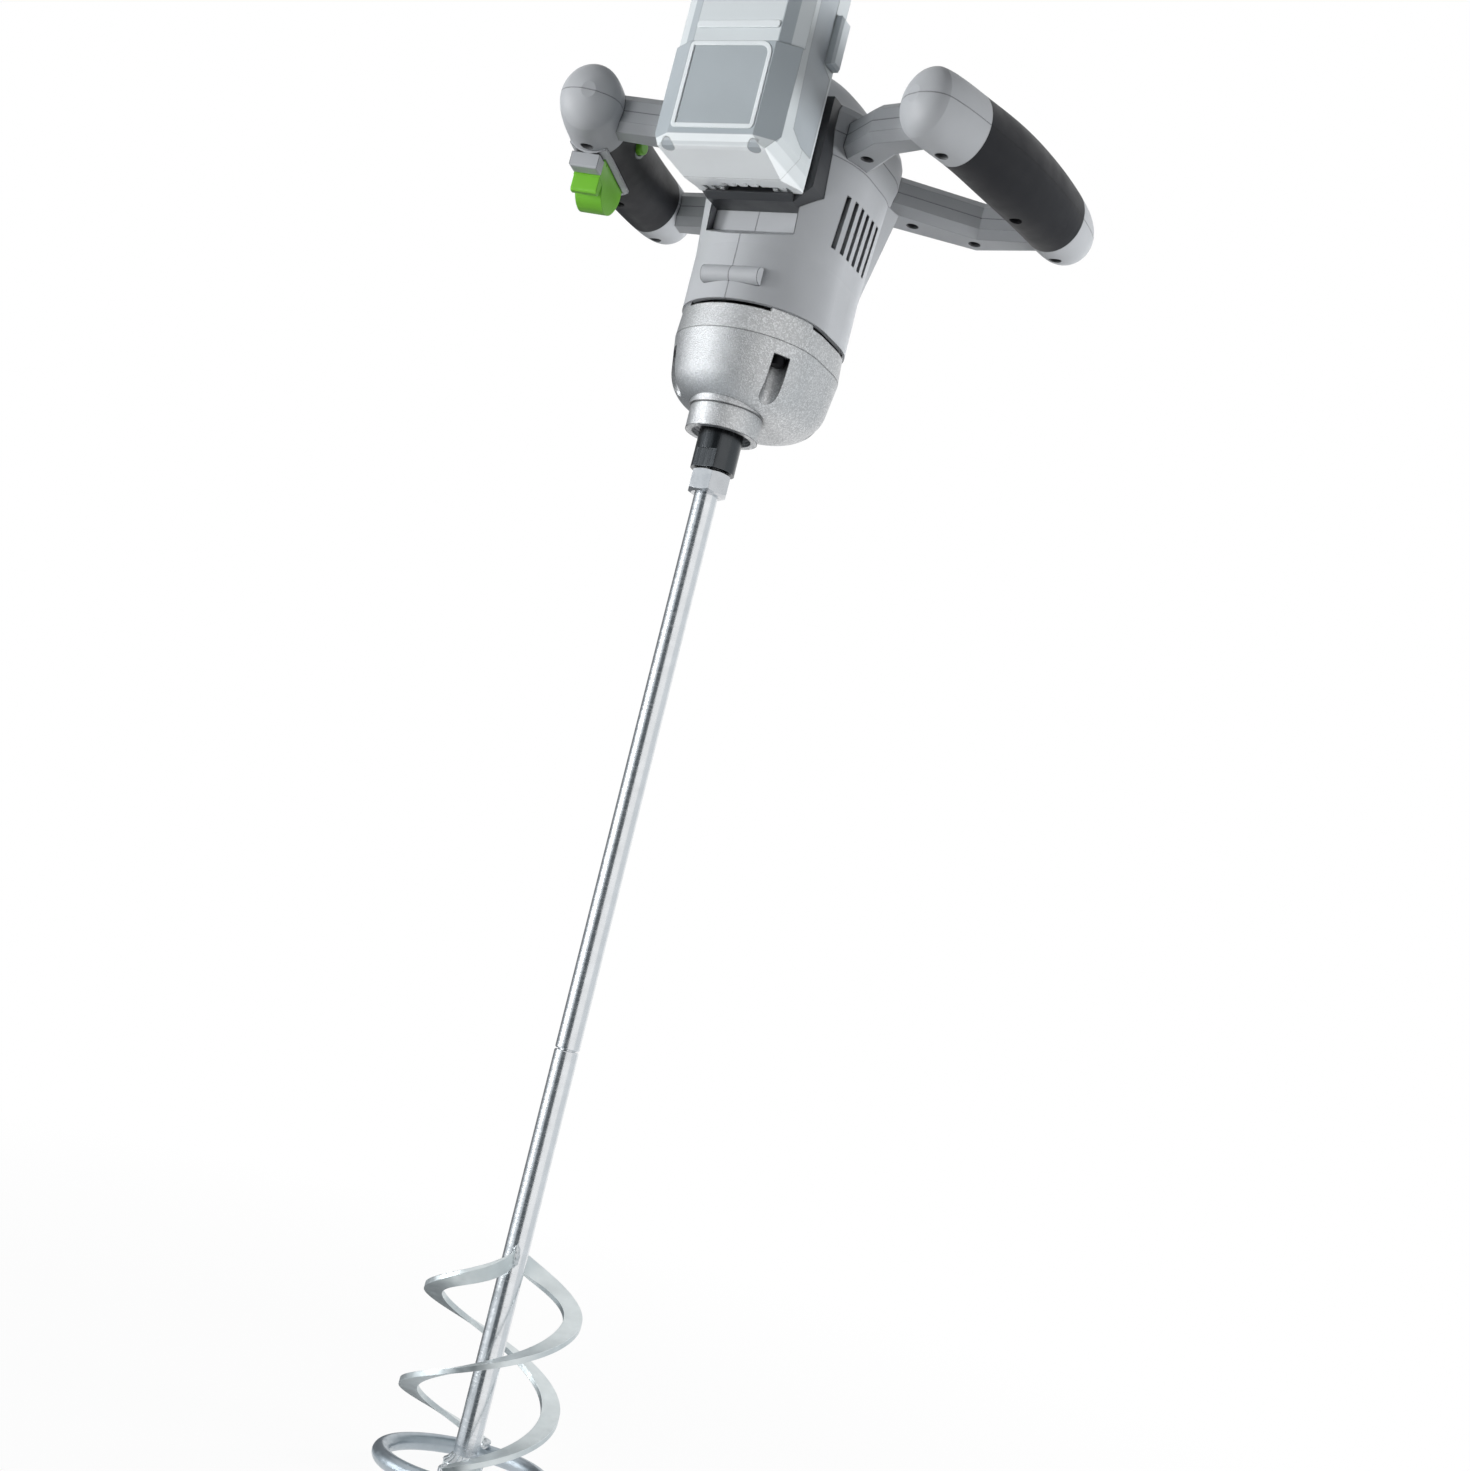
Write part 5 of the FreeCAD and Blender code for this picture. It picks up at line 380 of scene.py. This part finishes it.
low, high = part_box("release_springs")
middle = ((low[1] + high[1]) / 2, (low[2] + high[2]) / 2)
left_coil = coil("release_coil_left", (-RELEASE_SEAT, *middle), (low[0], *middle), *STRONG_SPRING, 1,
                 "battery", "release_left_press", RELEASE_TRAVEL)
coil("release_coil_right", (RELEASE_SEAT, *middle), (high[0], *middle), *STRONG_SPRING, 1,
     "battery", "release_right_press", RELEASE_TRAVEL)
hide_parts("release_springs")

# Trigger and lock button: bright green acetal with a smooth satin skin, so that the hand finds them.
# The trigger slides in a grey bezel with a guard, the button in a round cup.
signal_green = moulded("signal_green", (0.18, 0.52, 0.035), 0.34, 0.1, seam=0.7, edge=1.15)
dress(signal_green, "trigger", "lock_button")

# Trigger lip: the toe at the front of the trigger, which keeps the finger from slipping off.
# It is moulded with the trigger in the same green acetal and slides behind the guard.
TRIGGER_CENTRE = (-0.1261, -0.004, 0.1566)
TRIGGER_LEAN = 14.34
TOE_WIDTH = 0.0168
TOE_ROUNDING = 0.0005
SHARP = 0.5
TOE_OUTLINE = ((-0.0219, -0.0070), (-0.0219, -0.0186), (-0.0208, -0.0200), (-0.0172, -0.0200),
               (-0.0158, -0.0180), (-0.0140, -0.0070))


def drawn_out(mesh, way):
    far = bmesh.ops.extrude_face_region(mesh, geom=mesh.faces[:])
    verts = [part for part in far["geom"] if isinstance(part, bmesh.types.BMVert)]
    bmesh.ops.translate(mesh, verts=verts, vec=way)
    return verts


toe = bmesh.new()
toe.faces.new([toe.verts.new((-TOE_WIDTH / 2, y, z)) for y, z in TOE_OUTLINE])
drawn_out(toe, (TOE_WIDTH, 0, 0))
toe_rims = [edge for edge in toe.edges if edge.calc_face_angle(0) > SHARP]
bmesh.ops.bevel(toe, geom=toe_rims, offset=TOE_ROUNDING, affect="EDGES", segments=2, profile=0.5,
                material=-1)
toe_place = Matrix.Translation(TRIGGER_CENTRE) @ Matrix.Rotation(math.radians(TRIGGER_LEAN), 4, "Z")
bmesh.ops.transform(toe, verts=toe.verts, matrix=toe_place)
fitted("trigger_toe", toe, signal_green, "trigger_body")

# Trims: the trigger's bezel with its guard, and the button's cup, in the grey nylon of the handles.
# Both are moulded on their own and sit in openings of the left handle.
dress(moulded("trim_grey", HOUSING_GREY, 0.45), "trigger_bezel", "lock_bezel")

# Battery: a pale blue-grey nylon case in a front and a rear half. The top is lighter than the front, whose
# bare label plate lies in a light frame; the plates on both sides are darker. The foot is painted lighter
# and its sole near white, as painted light on faces turned down from the lamps, and the bevels beside the
# strap above the step carry the front's middle grey as painted shade.
PACK_LIGHT = (0.6, 0.645, 0.665)
PACK_MIDDLE = (0.36, 0.405, 0.435)
# The foot and sole colours below are painted light, raised to make up for faces turned down from the lamps
PACK_FOOT = (0.7, 0.745, 0.765)
PACK_SOLE_PAINTED_LIGHT = (0.9, 0.94, 0.96)
BLUR = 0.0004
FRONT_BORDER = -0.0852
SOLE_BORDER = 0.1368
FOOT_BORDER = 0.1414
STEP_BORDER = 0.197
STRIPE_BORDERS = (0.0262, 0.0334)


def pack_paint(tree):
    place = add(tree, "ShaderNodeTexCoord")
    axes = add(tree, "ShaderNodeSeparateXYZ", {"Vector": place.outputs["Object"]})
    across = add(tree, "ShaderNodeMath", {0: axes.outputs["X"]}, operation="ABSOLUTE").outputs[0]

    def both(first, second):
        return add(tree, "ShaderNodeMath", {0: first, 1: second}, operation="MULTIPLY").outputs[0]

    def past(value, border, blur):
        return mapped(tree, value, border, border + blur, 0.0, 1.0)

    front = past(axes.outputs["Y"], FRONT_BORDER, -BLUR)
    sole_painted_light = past(axes.outputs["Z"], SOLE_BORDER, -2 * BLUR)
    foot = past(axes.outputs["Z"], FOOT_BORDER, BLUR)
    under_step = past(axes.outputs["Z"], STEP_BORDER + BLUR / 2, -BLUR)
    over_step = past(axes.outputs["Z"], STEP_BORDER - BLUR / 2, BLUR)
    stripe = both(past(across, STRIPE_BORDERS[0], BLUR), past(across, STRIPE_BORDERS[1], -BLUR))
    lower = both(front, both(foot, under_step))
    upper_bevel_shade = both(front, both(stripe, over_step))
    # Painted light: the foot, and below it the sole, are lighter
    body = blended(tree, foot, tone(PACK_FOOT, 1.0), tone(PACK_LIGHT, 1.0))
    body = blended(tree, sole_painted_light, body, tone(PACK_SOLE_PAINTED_LIGHT, 1.0))
    # Painted shade: the bevels beside the strap above the step take the middle grey
    body = blended(tree, upper_bevel_shade, body, tone(PACK_MIDDLE, 1.0))
    return blended(tree, lower, body, tone(PACK_MIDDLE, 1.0))


pack_case = moulded("pack_case", PACK_LIGHT, 0.4, 0.12, seam=0.6, hole_shade_level=0.4, paint=pack_paint)
dress(pack_case, "battery_case_front", "battery_case_rear")
dress(moulded("pack_label", (0.35, 0.39, 0.415), 0.35, 0.08, 3000.0), "battery_label")
pack_panel = moulded("pack_panel", (0.4, 0.44, 0.47), 0.42, 0.12, seam=0.7)
dress(pack_panel, "battery_side_panels", "battery_plugs")
pack_button = moulded("pack_button", (0.6, 0.65, 0.68), 0.4, 0.12, seam=0.7)
dress(pack_button, "release_button_left", "release_button_right")

# Label frame: a raised bead round the label plate, with one corner cut off, and a lip for the hand above
# the step. Both are moulded with the front case, in the pale nylon of the foot.
pack_pale = moulded("pack_pale", PACK_FOOT, 0.38, 0.12, seam=0.8, edge=1.05)
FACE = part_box("battery_case_front")[0][1]
FRAME_HALF = 0.0262
BEAD_WIDTH = 0.0028


def plate(low, high, y, corner, cut=0.0):
    mesh = bmesh.new()
    corners = [mesh.verts.new((x, y, z)) for x, z in (low, (high[0], low[1]), high, (low[0], high[1]))]
    mesh.faces.new(corners)
    if cut:
        bmesh.ops.bevel(mesh, geom=[corners[2]], offset=cut, affect="VERTICES", segments=1, profile=0.5,
                        material=-1)
    bmesh.ops.bevel(mesh, geom=mesh.verts[:], offset=corner, affect="VERTICES", segments=5, profile=0.5,
                    material=-1)
    return mesh


def raised(mesh, height, rounding):
    top = set(drawn_out(mesh, (0, -height, 0)))
    rims = [edge for edge in mesh.edges if set(edge.verts) <= top and edge.calc_face_angle(0) > SHARP]
    bmesh.ops.bevel(mesh, geom=rims, offset=rounding, affect="EDGES", segments=3, profile=0.5, material=-1)


bead = plate((-FRAME_HALF, 0.1449), (FRAME_HALF, 0.1968), FACE + 0.0002, 0.003, cut=0.0045)
inset = bmesh.ops.inset_region(bead, faces=bead.faces[:], thickness=BEAD_WIDTH, use_boundary=True,
                               use_even_offset=True)
bead_faces = set(inset["faces"])
bmesh.ops.delete(bead, geom=[face for face in bead.faces if face not in bead_faces], context="FACES")
raised(bead, 0.0008, 0.0005)
fitted("label_bead", bead, pack_pale, "battery")
lip = plate((-FRAME_HALF, 0.2055), (FRAME_HALF, 0.2101), FACE + 0.002, 0.0018)
raised(lip, 0.0012, 0.0007)
fitted("hand_lip", lip, pack_pale, "battery")

# Inside the pack: five cells in shrink-wrapped sleeves, held by a moulded cradle of white nylon.
# The cradle stands between the two halves of the case.
dress(moulded("cell_wrap", (0.05, 0.16, 0.3), 0.3, 0.05, 300.0), "battery_cells")
dress(moulded("nylon_white", (0.7, 0.69, 0.65), 0.45), "cell_cradle")

# Spindle: turned steel, phosphated black, with two flats for a spanner.
# The nut on the rod is zinc plated.
dress(worked_metal("phosphated_steel", (0.075, 0.08, 0.085), 0.24, (2600, 2600, 60), wear=2.2), "spindle")
dress(worked_metal("plated_nut", (0.62, 0.635, 0.655), 0.24, (90, 90, 90), 0.02, 1.1), "hex_nut")

# Rod and whisk: drawn steel rod in two lengths on a stud, two ribbons bent round it and welded to a ring
# and a hub washer, all bright zinc plated together.
bright_zinc = worked_metal("bright_zinc", (0.78, 0.8, 0.82), 0.22, (160, 160, 900), 0.03, 1.05)
dress(bright_zinc, "upper_rod", "lower_rod", "rod_stud")
satin_zinc = worked_metal("satin_zinc", (0.68, 0.73, 0.74), 0.38, (260, 260, 260), 0.06, 1.2)
dress(satin_zinc, "whisk_ribbon_front", "whisk_ribbon_rear", "whisk_hub")
dress(worked_metal("ring_zinc", (0.4, 0.45, 0.49), 0.34, (260, 260, 260), 0.06, 1.2), "whisk_ring")

# Welds: short lumpy beads where the ribbons meet the rod and the ring, and a rippled fillet of weld
# metal round the foot of the rod. They were plated with the rest.
weld_zinc = worked_metal("weld_zinc", (0.6, 0.63, 0.65), 0.3, (700, 700, 700), 0.4, 1.2)
WELD_THICKNESS = 0.0026
ROD_WELD = (0.0079, -62.0, -0.477, 70.0, 0.0074)
RING_WELD = (0.0396, -74.0, -0.5866, 0.0, 0.0058)
FILLET_OUTLINE = ((0.0069, -0.5856), (0.0078, -0.5868), (0.0089, -0.5884), (0.0112, -0.5900),
                  (0.0069, -0.5902))
FILLET_TOP = -0.585
FILLET_SPAN = (0.0072, 0.0115)
RIPPLES = 17
RIPPLE_HEIGHT = 0.05
welds = bmesh.new()
for reach, first_angle, height, lean, length in (ROD_WELD, RING_WELD):
    for angle in (first_angle, first_angle + 180.0):
        blob = bmesh.ops.create_icosphere(welds, subdivisions=3, radius=1.0)["verts"]
        for vert in blob:
            lump = 1 + 0.16 * math.sin(11 * vert.co.x) + 0.22 * noise.noise(vert.co * 2.4)
            thick = WELD_THICKNESS * lump
            vert.co = Vector((vert.co.x * length, vert.co.y * thick, vert.co.z * thick))
        turn = Matrix.Rotation(math.radians(angle), 4, "Z")
        tilt = Matrix.Rotation(math.radians(-lean), 4, "Y")
        bmesh.ops.transform(welds, verts=blob, matrix=turn @ Matrix.Translation((reach, 0, height)) @ tilt)
fillet = [welds.verts.new((x, 0, z)) for x, z in FILLET_OUTLINE]
fillet_edges = [welds.edges.new(pair) for pair in zip(fillet, fillet[1:] + fillet[:1])]
bmesh.ops.spin(welds, geom=fillet + fillet_edges, axis=(0, 0, 1), cent=(0, 0, 0), angle=math.tau, steps=72,
               use_merge=True)
for vert in welds.verts:
    if vert.co.z < FILLET_TOP and FILLET_SPAN[0] < vert.co.xy.length < FILLET_SPAN[1]:
        ripple = 1 + RIPPLE_HEIGHT * math.sin(RIPPLES * math.atan2(vert.co.y, vert.co.x))
        vert.co = Vector((vert.co.x * ripple, vert.co.y * ripple, vert.co.z))
fitted("weld_beads", welds, weld_zinc, "spindle_assembly")

# Studio: a white sweep of floor under the whisk, in a white surround that is brighter from below than from
# above. Both look white but give only a plain level of light.
FLOOR_HALF = 30.0
FLOOR_DROP = 0.0015
scene = bpy.context.scene
scene.view_settings.view_transform = "Standard"
world = bpy.data.worlds.new("studio_surround")
scene.world = world
world.use_nodes = True
surround = world.node_tree
surround.nodes.clear()


def seen_rays(tree):
    ray = add(tree, "ShaderNodeLightPath")
    eye = add(tree, "ShaderNodeMath", {0: ray.outputs["Is Camera Ray"], 1: ray.outputs["Is Glossy Ray"]},
              operation="MAXIMUM")
    return add(tree, "ShaderNodeMath", {0: eye.outputs[0], 1: ray.outputs["Is Transmission Ray"]},
               operation="MAXIMUM").outputs[0]


def either(tree, amount, first, second):
    return add(tree, "ShaderNodeMixShader", {0: amount, 1: first.outputs[0], 2: second.outputs[0]})


surround_place = add(surround, "ShaderNodeTexCoord")
surround_axes = add(surround, "ShaderNodeSeparateXYZ", {"Vector": surround_place.outputs["Generated"]})
surround_level = mapped(surround, surround_axes.outputs["Z"], -0.6, 0.6, 0.52, 0.18)
surround_fill = add(surround, "ShaderNodeBackground",
                    {"Color": (0.95, 0.97, 1.0, 1), "Strength": surround_level})
surround_white = add(surround, "ShaderNodeBackground", {"Color": WHITE, "Strength": 1.0})
surround_mix = either(surround, seen_rays(surround), surround_fill, surround_white)
add(surround, "ShaderNodeOutputWorld", {"Surface": surround_mix.outputs[0]})

floor_white = bpy.data.materials.new("floor_white")
floor_white.use_nodes = True
sweep = floor_white.node_tree
sweep.nodes.clear()
sweep_place = add(sweep, "ShaderNodeTexCoord")
sweep_far = add(sweep, "ShaderNodeVectorMath", {0: sweep_place.outputs["Object"]}, operation="LENGTH")
sweep_level = mapped(sweep, sweep_far.outputs["Value"], 0.7, 1.3, 0.94, 1.0)
sweep_lit = add(sweep, "ShaderNodeBsdfDiffuse", {"Color": (0.9, 0.9, 0.9, 1)})
sweep_dim = add(sweep, "ShaderNodeBsdfDiffuse", {"Color": (0.3, 0.3, 0.3, 1)})
sweep_glow = add(sweep, "ShaderNodeEmission", {"Color": WHITE, "Strength": 1.0})
sweep_seen = either(sweep, sweep_level, sweep_lit, sweep_glow)
sweep_mix = either(sweep, seen_rays(sweep), sweep_dim, sweep_seen)
add(sweep, "ShaderNodeOutputMaterial", {"Surface": sweep_mix.outputs[0]})

floor_mesh = bmesh.new()
bmesh.ops.create_grid(floor_mesh, x_segments=1, y_segments=1, size=FLOOR_HALF)
bmesh.ops.translate(floor_mesh, verts=floor_mesh.verts, vec=(0, 0, cad_box[0][2] - FLOOR_DROP))
floor = placed("floor", floor_mesh, floor_white)

# Flags: grey cards that lie on the floor and stand up in a ring round the tool, each over one sector.
# They show only in bright metal, where they draw the dark and pale bands down the rod.
FLAG_DROP = 0.001
FLAG_FOOT = 0.06
FLAG_REACH = 1.7
FLAG_TOP = 0.9
for flag_name, first_angle, sector, level in (
        ("flag_dark", -60.0, -41.0, (0.1, 0.115, 0.125)),
        ("flag_pale", -101.0, -75.0, (0.58, 0.62, 0.65)),
        ("flag_edge", -176.0, -60.0, (0.2, 0.21, 0.22)),
        ("flag_side", 0.0, 70.0, (0.74, 0.77, 0.79))):
    card = bpy.data.materials.new(flag_name)
    card.use_nodes = True
    card.node_tree.nodes.clear()
    card_glow = add(card.node_tree, "ShaderNodeEmission", {"Color": tone(level, 1.0), "Strength": 1.0})
    add(card.node_tree, "ShaderNodeOutputMaterial", {"Surface": card_glow.outputs[0]})
    flag_mesh = bmesh.new()
    ground = cad_box[0][2] - FLAG_DROP
    foot = flag_mesh.verts.new((FLAG_FOOT, 0, ground))
    bend = flag_mesh.verts.new((FLAG_REACH, 0, ground))
    head = flag_mesh.verts.new((FLAG_REACH, 0, FLAG_TOP))
    flag_mesh.edges.new((foot, bend))
    flag_mesh.edges.new((bend, head))
    turn = Matrix.Rotation(math.radians(first_angle), 3, "Z")
    bmesh.ops.rotate(flag_mesh, verts=flag_mesh.verts, matrix=turn)
    bmesh.ops.spin(flag_mesh, geom=flag_mesh.verts[:] + flag_mesh.edges[:], axis=(0, 0, 1), cent=(0, 0, 0),
                   angle=math.radians(sector), steps=16)
    flag = placed(flag_name, flag_mesh, card)
    flag.visible_camera = False
    flag.visible_diffuse = False
    flag.visible_transmission = False
    flag.visible_shadow = False

# Lamps: soft round lamps low on the left, low on the right, behind and in front below the battery.
# Only the left one shows in bright metal.
for lamp_name, place, aim, size, watts in (
        ("lamp_left", (-1.9, -1.7, -0.1), (0, 0, 0.1), 0.8, 48),
        ("lamp_right", (2.0, 0.9, -0.3), (0, 0, 0.1), 0.8, 46),
        ("lamp_back", (0.6, 2.4, 0.4), (0, 0, 0.1), 1.0, 40),
        ("lamp_low", (-0.35, -1.3, -0.4), (0, -0.05, 0.13), 0.6, 8)):
    lamp_data = bpy.data.lights.new(lamp_name, "AREA")
    lamp_data.shape = "DISK"
    lamp_data.size = size
    lamp_data.energy = watts
    lamp = bpy.data.objects.new(lamp_name, lamp_data)
    scene.collection.objects.link(lamp)
    lamp.location = place
    lamp.visible_glossy = lamp_name == "lamp_left"
    lamp.rotation_euler = (Vector(aim) - Vector(place)).to_track_quat("-Z", "Y").to_euler()

# Camera: below the gear head, to the right of the battery, tipped up and rolled, as in the photograph.
# The angles are in degrees, the lens and the sensor in millimetres.
CAMERA_PLACE = (0.57395, -1.00275, -0.3151)
CAMERA_HEADING = 27.345
CAMERA_TIP = 97.2756
CAMERA_ROLL = 13.7835
camera_data = bpy.data.cameras.new("camera")
camera_data.sensor_width = 36.0
camera_data.lens = 49.976
camera = bpy.data.objects.new("camera", camera_data)
scene.collection.objects.link(camera)
heading = Matrix.Rotation(math.radians(CAMERA_HEADING), 4, "Z")
tip = Matrix.Rotation(math.radians(CAMERA_TIP), 4, "X")
roll = Matrix.Rotation(math.radians(CAMERA_ROLL), 4, "Z")
camera.matrix_world = Matrix.Translation(CAMERA_PLACE) @ heading @ tip @ roll
scene.camera = camera
